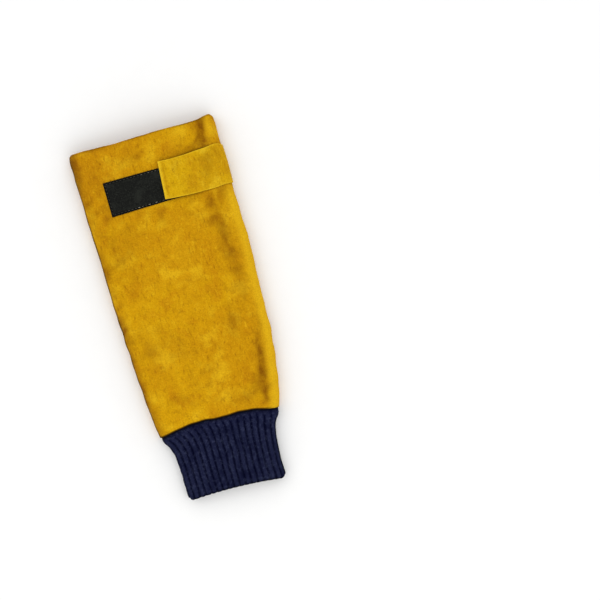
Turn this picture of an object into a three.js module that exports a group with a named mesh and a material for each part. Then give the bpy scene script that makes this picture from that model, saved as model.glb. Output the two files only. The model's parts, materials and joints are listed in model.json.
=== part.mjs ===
// Welding sleeve: a split-leather forearm sleeve with a ribbed knit cuff, lying on its back.
// Millimetres. +Z is up out of the front, +Y runs towards the upper-arm opening, +X to the seam edge.
import * as THREE from "three";

// Leather tube
const leatherLength = 364;
const upperWidth = 185;
const crownHeight = 33;
const foldRadius = 12;
const leatherWall = 1.3;
const rimCorner = 6;
const rimRise = 5;
const rimFade = 12;
const seamArch = 6;

// Knit cuff
const cuffShown = 87.5;
const cuffWidth = 122;
const cuffHeight = 22;
const cuffFold = 9;
const knitWall = 3;
const cuffTuck = 12;
const cuffDrift = 2.4;
const cuffArch = 3.6;
const cuffCorner = 6.5;
const cuffCornerFade = 8;
const ribCount = 36;
const ribRelief = 1.2;

// Strap and its two fastening patches
const strapDrop = 58.6;
const strapReach = 82.6;
const strapBack = 60;
const strapEndWidth = 47.4;
const strapRootWidth = 51.2;
const strapThickness = 1.4;
const strapTilt = 1.85;
const strapTipTilt = 2.8;
const strapSag = 1.6;
const strapPinch = 3;
const loopLength = 115;
const loopWidth = 43.4;
const loopEndWidth = 40.5;
const loopThickness = 1.4;
const loopInset = 32.2;
const loopDrop = 65.8;
const loopTilt = 0.95;
const hookLength = 40;
const hookWidth = 36;
const hookThickness = 1.2;
const hookSetback = 2;

// Spaces left between neighbouring pieces
const clearance = 0.3;
const knitClearance = 0.4;

// How softly a round corner ends on a side fold: nought would leave a notch there
const cornerEase = 0.08;

// Softening lengths: how far the leather takes to come back after a piece that lifts or presses it
const liftMargin = 13;
const liftRamp = 14;
const stepRamp = 12;
const pressRamp = 9;
const knitRelease = 16;

// The leather's edges as shares of upperWidth from the centre line, its height as a share of
// crownHeight and the radius of its side folds as a share of foldRadius. "at" is the share of
// leatherLength from the rim.
const leatherSections = [
  { at: 0, left: 0.4997, right: 0.501, height: 1, fold: 1 },
  { at: 0.083, left: 0.5007, right: 0.5025, height: 0.99, fold: 1 },
  { at: 0.159, left: 0.4929, right: 0.5085, height: 0.97, fold: 1 },
  { at: 0.26, left: 0.489, right: 0.508, height: 0.95, fold: 0.98 },
  { at: 0.337, left: 0.4805, right: 0.5135, height: 0.94, fold: 0.97 },
  { at: 0.438, left: 0.4742, right: 0.5208, height: 0.92, fold: 0.96 },
  { at: 0.59, left: 0.464, right: 0.51, height: 0.9, fold: 0.95 },
  { at: 0.743, left: 0.4468, right: 0.507, height: 0.88, fold: 0.93 },
  { at: 0.844, left: 0.4312, right: 0.4852, height: 0.86, fold: 0.91 },
  { at: 0.946, left: 0.4125, right: 0.4555, height: 0.82, fold: 0.88 },
  { at: 1, left: 0.395, right: 0.4255, height: 0.78, fold: 0.85 },
];

// The same for the knit: shares of cuffWidth, cuffHeight and cuffFold, "at" along cuffShown.
const cuffSections = [
  { at: 0, left: 0.586, right: 0.6314, height: 1.12, fold: 1.08 },
  { at: 0.09, left: 0.5557, right: 0.6107, height: 1.09, fold: 1.06 },
  { at: 0.2, left: 0.5264, right: 0.5743, height: 1.05, fold: 1.03 },
  { at: 0.305, left: 0.5056, right: 0.5546, height: 1.02, fold: 1.01 },
  { at: 0.41, left: 0.496, right: 0.5425, height: 1, fold: 1 },
  { at: 0.52, left: 0.4884, right: 0.5359, height: 0.99, fold: 1 },
  { at: 0.73, left: 0.486, right: 0.5283, height: 0.97, fold: 0.98 },
  { at: 0.94, left: 0.482, right: 0.535, height: 0.96, fold: 0.97 },
  { at: 1, left: 0.479, right: 0.532, height: 0.95, fold: 0.95 },
];

// The line of the rim: "rise" is a share of rimRise, "at" the share of the width from the folded edge.
const rimLine = [
  { at: 0, rise: -0.04 },
  { at: 0.04, rise: -0.16 },
  { at: 0.12, rise: -0.08 },
  { at: 0.23, rise: -0.28 },
  { at: 0.335, rise: -0.33 },
  { at: 0.5, rise: -0.13 },
  { at: 0.665, rise: 0.07 },
  { at: 0.8, rise: 0.07 },
  { at: 0.88, rise: 0.25 },
  { at: 0.935, rise: 0.64 },
  { at: 0.97, rise: 0.85 },
  { at: 1, rise: 0.86 },
];

// Dips of the lower edge: "at" and "breadth" are shares of half the width from the centre line, and
// "depth" is a share of seamArch.
const lowerDips = [
  { at: 0.87, breadth: 0.22, depth: 0.42 },
  { at: -0.95, breadth: 0.25, depth: 0.3 },
];

// Folds pressed into the front: "at" and "reach" are shares of leatherLength, "inset" from the right
// edge and "breadth" are shares of upperWidth, "depth" is a share of crownHeight, and a depth below
// nought bulges. "lean" is the sideways drift of the fold, a share of upperWidth, over its reach.
const folds = [
  { at: 0.02, inset: 0.093, reach: 0.085, breadth: 0.034, depth: 0.13, lean: 0.045 },
  { at: 0.04, inset: 0.042, reach: 0.05, breadth: 0.036, depth: -0.06, lean: 0 },
  { at: 0.262, inset: 0.085, reach: 0.028, breadth: 0.035, depth: 0.07, lean: 0 },
  { at: 0.28, inset: 0.17, reach: 0.04, breadth: 0.035, depth: 0.05, lean: 0.01 },
  { at: 0.42, inset: 0.135, reach: 0.17, breadth: 0.05, depth: 0.07, lean: -0.02 },
  { at: 0.69, inset: 0.24, reach: 0.06, breadth: 0.04, depth: 0.04, lean: 0.01 },
  { at: 0.84, inset: 0.088, reach: 0.12, breadth: 0.03, depth: 0.1, lean: 0 },
  { at: 0.7, inset: 0.8, reach: 0.08, breadth: 0.07, depth: 0.04, lean: 0 },
  { at: 0.36, inset: 0.86, reach: 0.1, breadth: 0.06, depth: 0.04, lean: 0.01 },
];

// Steps of the rings round the tube, one count for each of its four sides
const crownSteps = 24;
const sideSteps = 8;
const backSteps = 14;
const cuffSampling = 2;

const smooth = (t) => {
  const c = Math.min(1, Math.max(0, t));
  return c * c * (3 - 2 * c);
};

// A column of a table at any station: a cubic through its rows.
function column(table, name, at) {
  const t = Math.min(1, Math.max(0, at));
  const i = Math.min(table.length - 2, Math.max(0, table.findIndex((row) => row.at > t) - 1));
  const k = t >= 1 ? table.length - 2 : i;
  const slope = (n) => {
    const a = table[Math.max(0, n - 1)];
    const b = table[Math.min(table.length - 1, n + 1)];
    return (b[name] - a[name]) / (b.at - a.at);
  };
  const [p, q] = [table[k], table[k + 1]];
  const h = q.at - p.at;
  const s = (t - p.at) / h;
  return (
    (2 * s ** 3 - 3 * s ** 2 + 1) * p[name] +
    (s ** 3 - 2 * s ** 2 + s) * h * slope(k) +
    (3 * s ** 2 - 2 * s ** 3) * q[name] +
    (s ** 3 - s ** 2) * h * slope(k + 1)
  );
}

function leatherSection(along) {
  const at = along / leatherLength;
  return {
    left: -column(leatherSections, "left", at) * upperWidth,
    right: column(leatherSections, "right", at) * upperWidth,
    height: column(leatherSections, "height", at) * crownHeight,
    fold: column(leatherSections, "fold", at) * foldRadius,
  };
}

function cuffSection(below) {
  const at = below / cuffShown;
  return {
    left: -column(cuffSections, "left", at) * cuffWidth,
    right: column(cuffSections, "right", at) * cuffWidth,
    height: column(cuffSections, "height", at) * cuffHeight,
    fold: column(cuffSections, "fold", at) * cuffFold,
  };
}

// One point of a closed section and its outward direction. A section is a flat back, a round fold at
// each side and a crown that leaves the folds without a corner. "u" runs from 0 to 1 along each side.
function sectionPoint(section, side, u, liftAt) {
  const { left, right, height, fold } = section;
  const reach = (right - left) / 2 - fold;
  const tilt = Math.atan((2 * (height - 2 * fold)) / reach);
  const half = reach + fold * Math.sin(tilt);
  const middle = (left + right) / 2;
  const gain = (Math.tan(tilt) * half) / 2;
  if (side === "crown") {
    const s = 2 * u - 1;
    const slope = (2 * gain * s) / half;
    const size = Math.hypot(slope, 1);
    const z = fold + fold * Math.cos(tilt) + gain * (1 - s * s);
    return { x: middle + s * half, z, nx: slope / size, nz: 1 / size };
  }
  if (side === "back") {
    const x = right - fold - u * 2 * reach;
    return { x, z: liftAt(x), nx: 0, nz: -1 };
  }
  const turn = side === "seam" ? 1 : -1;
  const top = Math.PI / 2 - tilt;
  const angle = side === "seam" ? top - u * (top + Math.PI / 2) : u * (top + Math.PI / 2) - Math.PI / 2;
  const edge = turn > 0 ? right : left;
  const x = edge - turn * fold * (1 - Math.cos(angle));
  const drop = angle < 0 ? fold - liftAt(x) : fold;
  const z = fold + drop * Math.sin(angle);
  return { x, z, nx: turn * Math.cos(angle), nz: Math.sin(angle) };
}

// How far a round corner of a given radius cuts an edge back beside its two ends.
function cornerCut(x, left, right, radius) {
  const inner = Math.min(1, Math.max(0, 1 - Math.min(x - left, right - x) / radius));
  return radius * (Math.sqrt(1 + cornerEase) - Math.sqrt(1 + cornerEase - inner * inner));
}

// How high the back is carried where the strap passes under it.
function liftUnder(x, along) {
  const strap = clearance + strapThickness;
  const across = leatherSection(strapDrop).right - strapBack - liftMargin - x;
  const beyond = Math.abs(along - strapDrop) - strapRootWidth / 2 - liftMargin;
  return strap * smooth(1 - across / liftRamp) * smooth(1 - beyond / liftRamp);
}

// How deep the folds press the front in at a point.
function foldDepth(x, along) {
  const edge = leatherSection(along).right;
  const beside = Math.abs(along - strapDrop) - strapRootWidth / 2;
  const free = smooth(beside / pressRamp);
  let depth = 0;
  for (const fold of folds) {
    const down = (along / leatherLength - fold.at) / fold.reach;
    const across = (edge - x) / upperWidth - fold.inset - fold.lean * down;
    depth += fold.depth * Math.exp(-(down ** 2) - (across / fold.breadth) ** 2);
  }
  return depth * crownHeight * free;
}

// The lengthwise place of a point: the rim wavers and climbs to a small horn beside the seam edge,
// its two corners are rounded off, and the lower edge arches up between its dips.
function lengthwise(x, along) {
  const { left, right } = leatherSection(Math.min(along, leatherLength));
  const s = (2 * x - left - right) / (right - left);
  const share = Math.min(1, along / leatherLength);
  const rise = rimRise * column(rimLine, "rise", (s + 1) / 2) * Math.exp(-along / rimFade);
  const corner = cornerCut(x, left, right, rimCorner) * Math.exp(-along / rimCorner);
  const dips = lowerDips.map((dip) => dip.depth * Math.exp(-(((s - dip.at) / dip.breadth) ** 2)));
  const arch = seamArch * (1 - s * s - dips[0] - dips[1]) * share ** 8;
  return -along + rise - corner + arch;
}

// A point of the leather's outer face, moved outwards by "out".
function leatherPoint(side, u, along, out) {
  const p = sectionPoint(leatherSection(along), side, u, (x) => liftUnder(x, along));
  const shift = out - foldDepth(p.x, along) * Math.max(0, p.nz);
  return new THREE.Vector3(p.x + p.nx * shift, lengthwise(p.x, along), p.z + p.nz * shift);
}

// The stations of one ring, in order: crown, seam edge, back, folded edge.
function ringStations(scale) {
  const sides = [
    ["crown", crownSteps],
    ["seam", sideSteps],
    ["back", backSteps],
    ["folded", sideSteps],
  ];
  return sides.flatMap(([side, steps]) =>
    Array.from({ length: steps * scale }, (_, k) => ({ side, u: k / (steps * scale) })),
  );
}

const spread = (from, to, steps) =>
  Array.from({ length: steps + 1 }, (_, k) => from + ((to - from) * k) / steps);

function meshFrom(name, points, triangles, colour, roughness) {
  const geometry = new THREE.BufferGeometry().setFromPoints(points);
  geometry.setIndex(triangles);
  geometry.computeVertexNormals();
  const material = new THREE.MeshStandardMaterial({ color: colour, roughness, metalness: 0 });
  const mesh = new THREE.Mesh(geometry, material);
  mesh.name = name;
  return mesh;
}

// A wall that closes on itself both ways: rings down the outside and back up the inside.
function tubeMesh(name, rings, colour, roughness) {
  const around = rings[0].length;
  const triangles = [];
  rings.forEach((_, i) => {
    const next = (i + 1) % rings.length;
    for (let j = 0; j < around; j++) {
      const k = (j + 1) % around;
      const [a, b, c, d] = [i * around + j, i * around + k, next * around + k, next * around + j];
      triangles.push(a, c, b, a, d, c);
    }
  });
  return meshFrom(name, rings.flat(), triangles, colour, roughness);
}

// A strip of even thickness between two grids of points, an outer and an inner one.
function stripMesh(name, outer, inner, colour, roughness) {
  const [long, wide] = [outer.length, outer[0].length];
  const count = long * wide;
  const at = (i, j, below) => i * wide + j + (below ? count : 0);
  const triangles = [];
  const face = (a, b, c, d) => triangles.push(a, b, c, a, c, d);
  for (let i = 0; i + 1 < long; i++) {
    for (let j = 0; j + 1 < wide; j++) {
      face(at(i, j), at(i, j + 1), at(i + 1, j + 1), at(i + 1, j));
      face(at(i, j, 1), at(i + 1, j, 1), at(i + 1, j + 1, 1), at(i, j + 1, 1));
    }
    face(at(i, 0), at(i + 1, 0), at(i + 1, 0, 1), at(i, 0, 1));
    face(at(i, wide - 1), at(i, wide - 1, 1), at(i + 1, wide - 1, 1), at(i + 1, wide - 1));
  }
  for (let j = 0; j + 1 < wide; j++) {
    face(at(0, j), at(0, j, 1), at(0, j + 1, 1), at(0, j + 1));
    face(at(long - 1, j), at(long - 1, j + 1), at(long - 1, j + 1, 1), at(long - 1, j, 1));
  }
  return meshFrom(name, [...outer.flat(), ...inner.flat()], triangles, colour, roughness);
}

// The leather tube.
function makeSleeveBody() {
  const stations = ringStations(1);
  const [strapTop, strapFoot] = [strapDrop - strapRootWidth / 2, strapDrop + strapRootWidth / 2];
  const outerRows = [
    0,
    rimCorner * 0.6,
    rimCorner * 1.6,
    strapTop - liftMargin - liftRamp / 3,
    ...spread(strapTop - liftMargin, strapFoot + liftMargin, 5),
    strapFoot + liftMargin + liftRamp,
    ...spread(strapFoot + liftMargin + 2 * liftRamp, leatherLength, 14),
  ];
  const innerRows = [
    leatherLength,
    leatherLength - cuffTuck / 2,
    leatherLength - cuffTuck,
    ...spread(leatherLength - 2 * cuffTuck, strapFoot + liftMargin + liftRamp, 7),
    strapFoot + liftMargin,
    strapDrop,
    strapTop - liftMargin,
    rimCorner,
    0,
  ];
  const ring = (along, out) => stations.map(({ side, u }) => leatherPoint(side, u, along, out));
  const rings = [
    ...outerRows.map((along) => ring(along, 0)),
    ...innerRows.map((along) => ring(along, -leatherWall)),
  ];
  return tubeMesh("sleeve_body", rings, 0xcc940c, 0.95);
}

// The height of the strap's inner face over the leather: it steps down past the end of each patch.
function strapStand(x) {
  const loopEnd = loopStart() + loopLength;
  const hookEnd = strapTip() + hookSetback + hookLength;
  const over = (end) => 1 - smooth((x - end - stepRamp / 4) / stepRamp);
  const first = (loopThickness + clearance) * over(Math.max(loopEnd, hookEnd));
  return clearance + first + (hookThickness + clearance) * over(hookEnd);
}

function strapTip() {
  return leatherSection(strapDrop).right - strapReach;
}

function loopStart() {
  return leatherSection(loopDrop).left + loopInset;
}

// The share of the crown's width at which a sideways place lies.
function crownShare(x, along) {
  const section = leatherSection(along);
  const [a, b] = [0, 1].map((u) => sectionPoint(section, "crown", u, () => 0).x);
  return (x - a) / (b - a);
}

// The strap: from its free tip over the front, round the seam edge and back under the sleeve. It is
// tilted a little, so that it lies lower on the front and higher on the back the farther it goes, and
// it sags between its tip and the seam edge. Its tip is cut aslant, and its upper edge is pinched in
// round the seam edge.
function makeStrap() {
  const tip = crownShare(strapTip(), strapDrop);
  const { left, right, fold } = leatherSection(strapDrop);
  const root = (strapBack - fold) / (right - left - 2 * fold);
  const lean = Math.tan((strapTilt * Math.PI) / 180);
  const slant = Math.tan((strapTipTilt * Math.PI) / 180);
  const between = (side, steps, from, to) =>
    spread(0, 1, steps)
      .filter((u) => u > from + 0.3 / steps && u < to - 0.3 / steps)
      .map((u) => ({ side, u }));
  const stations = [
    { side: "crown", u: tip },
    ...between("crown", crownSteps, tip, 1 + 1 / crownSteps),
    ...between("seam", sideSteps, 0, 1 + 1 / sideSteps),
    ...between("back", backSteps, 0, root),
    { side: "back", u: root },
  ];
  const grid = (extra) =>
    stations.map(({ side, u }) => {
      const x = sectionPoint(leatherSection(strapDrop), side, u, () => 0).x;
      const over = side === "crown" ? (u - tip) / (1 - tip) : 1;
      const share = smooth(over);
      const half = (strapEndWidth + (strapRootWidth - strapEndWidth) * share) / 2;
      const travel = Math.max(0, right - fold - x) * lean;
      const sag = strapSag * Math.sin(Math.PI * over);
      const middle = strapDrop + sag + (side === "crown" ? travel : -travel);
      const stand = side === "crown" ? strapStand(x) : clearance;
      const round = side === "seam" ? smooth(2 * u) : Number(side === "back");
      return spread(middle - half + strapPinch * round, middle + half, 4).map((along) => {
        const cut = crownShare(strapTip() - (along - middle) * slant, along);
        const straight = (cut - tip) * (1 - share);
        return leatherPoint(side, u + straight, along, stand + extra);
      });
    });
  return stripMesh("strap", grid(strapThickness), grid(0), 0xd09c10, 0.95);
}

// A flat fastening patch laid on the front, "stand" above the leather: its width goes from the first
// of "widths" at its start to the second at its end.
function patchMesh(name, start, length, drop, widths, thickness, stand, colour) {
  const lean = Math.tan((loopTilt * Math.PI) / 180);
  const xs = spread(start, start + length, 14);
  const grid = (out) =>
    xs.map((x) => {
      const middle = drop + (start + length / 2 - x) * lean;
      const half = THREE.MathUtils.lerp(widths[0], widths[1], (x - start) / length) / 2;
      return spread(middle - half, middle + half, 4).map((along) =>
        leatherPoint("crown", crownShare(x + (along - middle) * lean, along), along, out),
      );
    });
  return stripMesh(name, grid(stand + thickness), grid(stand), colour, 0.9);
}

function makePatches() {
  const loop = patchMesh(
    "loop_patch", loopStart(), loopLength, loopDrop, [loopWidth, loopEndWidth], loopThickness, clearance,
    0x1d1e1a,
  );
  const hook = patchMesh(
    "hook_patch", strapTip() + hookSetback, hookLength, loopDrop - (loopWidth - hookWidth) / 4,
    [hookWidth, hookWidth], hookThickness, loopThickness + 2 * clearance, 0x22231f,
  );
  return [loop, hook];
}

// A ring of the knit before its ribs: inside the leather it follows the leather's inner face, and
// below the leather's edge it eases into the knit's own section. "inset" goes into the wall.
function knitRing(below, inset) {
  const tucked = leatherWall + knitClearance;
  const along = leatherLength + Math.min(0, below);
  const release = smooth(below / knitRelease);
  const own = cuffSection(Math.max(0, below));
  return ringStations(cuffSampling).map(({ side, u }) => {
    const held = sectionPoint(leatherSection(along), side, u, (x) => liftUnder(x, along));
    const free = sectionPoint(own, side, u, () => 0);
    const press = foldDepth(held.x, along) * Math.max(0, held.nz);
    const x = THREE.MathUtils.lerp(held.x - held.nx * (tucked + press), free.x, release);
    const z = THREE.MathUtils.lerp(held.z - held.nz * (tucked + press), free.z, release);
    const nx = THREE.MathUtils.lerp(held.nx, free.nx, release);
    const nz = THREE.MathUtils.lerp(held.nz, free.nz, release);
    const size = Math.hypot(nx, nz);
    const s = (2 * x - own.left - own.right) / (own.right - own.left);
    const foot = -leatherLength - cuffShown - (cuffDrift * s) / 2 + cuffArch * (1 - s * s);
    const edge = lengthwise(held.x, leatherLength);
    const fade = Math.exp((below - cuffShown) / cuffCornerFade);
    const corner = cornerCut(x, own.left, own.right, cuffCorner) * fade;
    const y = below < 0 ? lengthwise(held.x, along) : edge + ((foot - edge) * below) / cuffShown + corner;
    return { x: x - (nx / size) * inset, y, z: z - (nz / size) * inset, nx: nx / size, nz: nz / size };
  });
}

// The same ring cut into equal lengths, three stations to a rib: a valley and two shoulders.
function ribbedRing(below, inset, relief) {
  const ring = knitRing(below, inset);
  const closed = [...ring, ring[0]];
  const lengths = [0];
  for (let k = 1; k < closed.length; k++) {
    const [a, b] = [closed[k - 1], closed[k]];
    lengths.push(lengths[k - 1] + Math.hypot(b.x - a.x, b.z - a.z));
  }
  const total = lengths[lengths.length - 1];
  const profile = [
    { share: 0, depth: 1 },
    { share: 0.3, depth: 0 },
    { share: 0.7, depth: 0 },
  ];
  const points = [];
  let k = 1;
  for (let rib = 0; rib < ribCount; rib++) {
    for (const { share, depth } of profile) {
      const want = ((rib + share) / ribCount) * total;
      while (lengths[k] < want) k++;
      const f = (want - lengths[k - 1]) / (lengths[k] - lengths[k - 1]);
      const mix = (name) => THREE.MathUtils.lerp(closed[k - 1][name], closed[k][name], f);
      const sink = relief * depth;
      points.push(new THREE.Vector3(mix("x") - mix("nx") * sink, mix("y"), mix("z") - mix("nz") * sink));
    }
  }
  return points;
}

function makeKnitCuff() {
  const lip = knitWall / 2;
  const outerRows = [
    -cuffTuck,
    -cuffTuck / 2,
    0,
    ...spread(cuffShown * 0.06, cuffShown * 0.42, 5),
    ...spread(cuffShown * 0.55, cuffShown - lip, 3),
  ];
  const innerRows = [...spread(cuffShown - lip, cuffShown * 0.1, 4), 0, -cuffTuck];
  const rings = [
    ...outerRows.map((below) => ribbedRing(below, 0, ribRelief * smooth(below / knitRelease))),
    ribbedRing(cuffShown, knitWall * 0.2, ribRelief / 3),
    ribbedRing(cuffShown, knitWall * 0.75, 0),
    ...innerRows.map((below) => ribbedRing(below, knitWall, 0)),
  ];
  return tubeMesh("knit_cuff", rings, 0x181b33, 0.98);
}

const sleeve = new THREE.Group();
sleeve.add(makeSleeveBody(), makeStrap(), ...makePatches(), makeKnitCuff());

// The origin is under the middle of the whole sleeve.
const box = new THREE.Box3().setFromObject(sleeve);
const middle = box.getCenter(new THREE.Vector3());
sleeve.position.set(-middle.x, -middle.y, -box.min.z);

export default sleeve;
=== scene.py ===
"""A split-leather welding sleeve with a ribbed knit cuff, lying on its back on a pale floor.

The leather tube, strap, fastening patches and cuff are surfaces of two parameters, one round the
sleeve or across a piece and one along it, worked out with numpy in millimetres and put in place by
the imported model's boxes.
"""

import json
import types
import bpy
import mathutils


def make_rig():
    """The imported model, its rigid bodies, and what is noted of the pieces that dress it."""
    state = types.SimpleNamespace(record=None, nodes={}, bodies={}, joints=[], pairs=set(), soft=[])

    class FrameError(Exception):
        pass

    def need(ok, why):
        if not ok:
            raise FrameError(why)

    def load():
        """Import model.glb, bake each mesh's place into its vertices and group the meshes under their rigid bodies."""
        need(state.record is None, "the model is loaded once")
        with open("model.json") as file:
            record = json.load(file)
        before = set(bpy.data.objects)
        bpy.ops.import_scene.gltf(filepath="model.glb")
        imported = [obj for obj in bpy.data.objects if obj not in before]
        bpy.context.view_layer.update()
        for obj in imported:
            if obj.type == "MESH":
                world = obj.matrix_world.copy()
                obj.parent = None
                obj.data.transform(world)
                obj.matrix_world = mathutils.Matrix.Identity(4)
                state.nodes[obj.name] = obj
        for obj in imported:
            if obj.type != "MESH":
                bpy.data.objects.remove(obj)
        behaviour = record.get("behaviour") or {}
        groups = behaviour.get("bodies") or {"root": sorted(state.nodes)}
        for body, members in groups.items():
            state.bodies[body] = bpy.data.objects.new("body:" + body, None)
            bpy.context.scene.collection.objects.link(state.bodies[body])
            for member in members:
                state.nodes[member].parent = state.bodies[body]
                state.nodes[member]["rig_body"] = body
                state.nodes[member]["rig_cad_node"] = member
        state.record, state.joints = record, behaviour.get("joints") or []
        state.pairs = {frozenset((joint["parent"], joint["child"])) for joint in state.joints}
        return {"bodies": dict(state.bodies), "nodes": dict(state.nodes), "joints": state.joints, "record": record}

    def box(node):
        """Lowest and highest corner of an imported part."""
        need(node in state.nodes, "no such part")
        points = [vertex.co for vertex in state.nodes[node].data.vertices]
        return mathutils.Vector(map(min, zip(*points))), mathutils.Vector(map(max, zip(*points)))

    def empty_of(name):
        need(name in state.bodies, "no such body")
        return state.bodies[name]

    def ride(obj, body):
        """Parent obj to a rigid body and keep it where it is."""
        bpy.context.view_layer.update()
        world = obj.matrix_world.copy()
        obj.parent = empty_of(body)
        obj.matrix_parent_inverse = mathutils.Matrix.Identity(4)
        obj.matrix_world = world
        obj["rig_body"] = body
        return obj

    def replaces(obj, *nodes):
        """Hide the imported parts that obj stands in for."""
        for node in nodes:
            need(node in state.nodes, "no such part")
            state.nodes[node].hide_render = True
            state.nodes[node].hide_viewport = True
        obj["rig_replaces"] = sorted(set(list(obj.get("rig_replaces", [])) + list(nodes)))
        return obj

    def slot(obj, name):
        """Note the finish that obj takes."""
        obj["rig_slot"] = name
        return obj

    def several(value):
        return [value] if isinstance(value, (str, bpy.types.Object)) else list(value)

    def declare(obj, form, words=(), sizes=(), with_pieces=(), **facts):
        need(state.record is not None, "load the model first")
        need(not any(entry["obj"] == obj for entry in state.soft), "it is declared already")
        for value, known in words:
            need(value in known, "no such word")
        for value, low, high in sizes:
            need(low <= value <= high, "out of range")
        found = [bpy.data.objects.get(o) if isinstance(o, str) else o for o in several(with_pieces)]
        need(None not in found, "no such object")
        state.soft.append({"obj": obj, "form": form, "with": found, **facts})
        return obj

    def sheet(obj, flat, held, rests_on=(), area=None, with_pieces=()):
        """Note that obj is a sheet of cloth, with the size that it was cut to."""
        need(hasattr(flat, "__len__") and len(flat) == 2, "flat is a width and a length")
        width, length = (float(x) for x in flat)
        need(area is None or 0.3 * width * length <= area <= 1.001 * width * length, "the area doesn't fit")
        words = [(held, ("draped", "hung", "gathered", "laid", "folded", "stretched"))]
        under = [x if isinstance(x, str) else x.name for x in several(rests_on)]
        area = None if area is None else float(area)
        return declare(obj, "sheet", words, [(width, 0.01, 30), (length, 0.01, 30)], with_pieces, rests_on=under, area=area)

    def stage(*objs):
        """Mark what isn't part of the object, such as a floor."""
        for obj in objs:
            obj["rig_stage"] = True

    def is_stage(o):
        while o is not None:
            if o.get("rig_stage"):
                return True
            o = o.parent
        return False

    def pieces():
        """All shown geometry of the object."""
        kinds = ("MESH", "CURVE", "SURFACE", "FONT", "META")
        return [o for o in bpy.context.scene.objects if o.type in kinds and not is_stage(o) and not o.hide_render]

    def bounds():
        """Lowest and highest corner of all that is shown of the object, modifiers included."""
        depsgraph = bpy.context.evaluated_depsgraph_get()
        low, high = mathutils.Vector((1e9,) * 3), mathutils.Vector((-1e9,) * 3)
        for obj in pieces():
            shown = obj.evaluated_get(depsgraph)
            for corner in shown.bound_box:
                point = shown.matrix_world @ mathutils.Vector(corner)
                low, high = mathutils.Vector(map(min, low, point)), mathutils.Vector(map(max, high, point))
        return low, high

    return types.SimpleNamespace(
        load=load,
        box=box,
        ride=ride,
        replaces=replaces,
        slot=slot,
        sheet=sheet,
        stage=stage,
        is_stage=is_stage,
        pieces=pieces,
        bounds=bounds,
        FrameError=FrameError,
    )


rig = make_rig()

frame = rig.load()
import json
import math

import bpy
import numpy as np

cad_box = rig.bounds()
MM = 0.001

# Sizes of the leather tube, in millimetres
LEATHER_LENGTH = 364.0
UPPER_WIDTH = 185.0
CROWN_HEIGHT = 33.0
FOLD_RADIUS = 12.0
LEATHER_WALL = 1.3
RIM_CORNER = 6.0
RIM_RISE = 5.0
RIM_FADE = 12.0
SEAM_ARCH = 6.0

# Sizes of the knit cuff
CUFF_SHOWN = 87.5
CUFF_WIDTH = 122.0
CUFF_HEIGHT = 22.0
CUFF_FOLD = 9.0
KNIT_WALL = 3.0
CUFF_TUCK = 12.0
CUFF_DRIFT = 2.4
CUFF_ARCH = 3.6
CUFF_CORNER = 6.5
CUFF_CORNER_FADE = 8.0
RIB_COUNT = 36
RIB_RELIEF = 2.3
WALES_PER_RIB = 4
COURSE_HEIGHT = 1.7

# Sizes of the strap and its patches
STRAP_DROP = 58.6
STRAP_REACH = 82.6
STRAP_BACK = 60.0
STRAP_END_WIDTH = 47.4
STRAP_ROOT_WIDTH = 51.2
STRAP_THICKNESS = 1.4
STRAP_LEAN = math.tan(math.radians(1.85))
STRAP_TIP_LEAN = math.tan(math.radians(2.8))
STRAP_SAG = 1.6
STRAP_PINCH = 3.0
LOOP_LENGTH = 115.0
LOOP_WIDTH = 43.4
LOOP_END_WIDTH = 40.5
LOOP_THICKNESS = 1.4
LOOP_INSET = 32.2
LOOP_DROP = 65.8
LOOP_LEAN = math.tan(math.radians(0.95))
HOOK_LENGTH = 40.0
HOOK_WIDTH = 36.0
HOOK_THICKNESS = 1.2
HOOK_SETBACK = 2.0

# The strap's tip lifts off the patch: how high it curls at its lower corner and along its whole end, and
# over what lengths, with the gentle waves of the strap's face and sides
CORNER_CURL = 2.4
CORNER_CURL_LENGTH = 8.0
CORNER_CURL_WIDTH = 7.0
END_CURL = 0.6
END_CURL_LENGTH = 6.0
STRAP_PUFF = 0.15
STRAP_WAVE = 0.18
STRAP_SIDE_WAVE = 0.2
STRAP_CORNER = 0.7

# The patches' borders, and the stitches with the gaps between them
PATCH_CORNER = 0.6
HOOK_CORNER = 0.5
PATCH_BORDER = 3.2
PATCH_BORDER_STEP = 0.35
PATCH_RUFFLE = 0.12
PATCH_SEAM_INSET = 2.3
PATCH_STITCH, PATCH_STITCH_GAP = 4.4, 1.5
ROOT_STITCH, ROOT_STITCH_GAP = 3.6, 1.0
ROOT_BOX_LENGTH = 29.0
ROOT_BOX_INSET = 3.0
ROOT_SEAM_INSET = 4.0
THREAD_RADIUS = 0.3

# Spaces between neighbours, how softly a round corner ends on a fold, and how far the leather takes to
# come back from what lifts or presses it
CLEARANCE = 0.3
KNIT_CLEARANCE = 0.4
CORNER_EASE = 0.08
LIFT_MARGIN = 13.0
LIFT_RAMP = 14.0
STEP_RAMP = 12.0
PRESS_RAMP = 9.0
KNIT_RELEASE = 16.0

# Waves of the leather's face: height, length, how far they are drawn out sideways, and seed
HILLS = [(0.42, 52, 1.0, 3), (0.16, 19, 1.0, 4)]
SEAM_PUCKERS = [(0.30, 26, 0.35, 5), (0.05, 11, 0.50, 6)]
FOLD_CREASES = [(0.25, 26, 0.40, 7)]
SEAM_PUCKER_REACH = 15.0
FOLD_CREASE_REACH = 10.0
BACK_LIFT = 0.5
BACK_LIFT_FADE = 40.0
RIM_WAVE = 0.13
RIM_WAVE_LENGTH = 28.0
STEADY_BY_KNIT = 24.0

# The photograph's frame: the sleeve's middle and lean in it, the size of one pixel in metres, and the
# height at which the outline lies
PHOTO_CENTRE = (300.0, 300.0)
SLEEVE_CENTRE = (189.3, 311.4)
SLEEVE_LEAN = 15.0
PIXEL = 1.2326e-3
LENS = 135.0
SENSOR = 36.0
SEAM_LEVEL = 0.013

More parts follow.
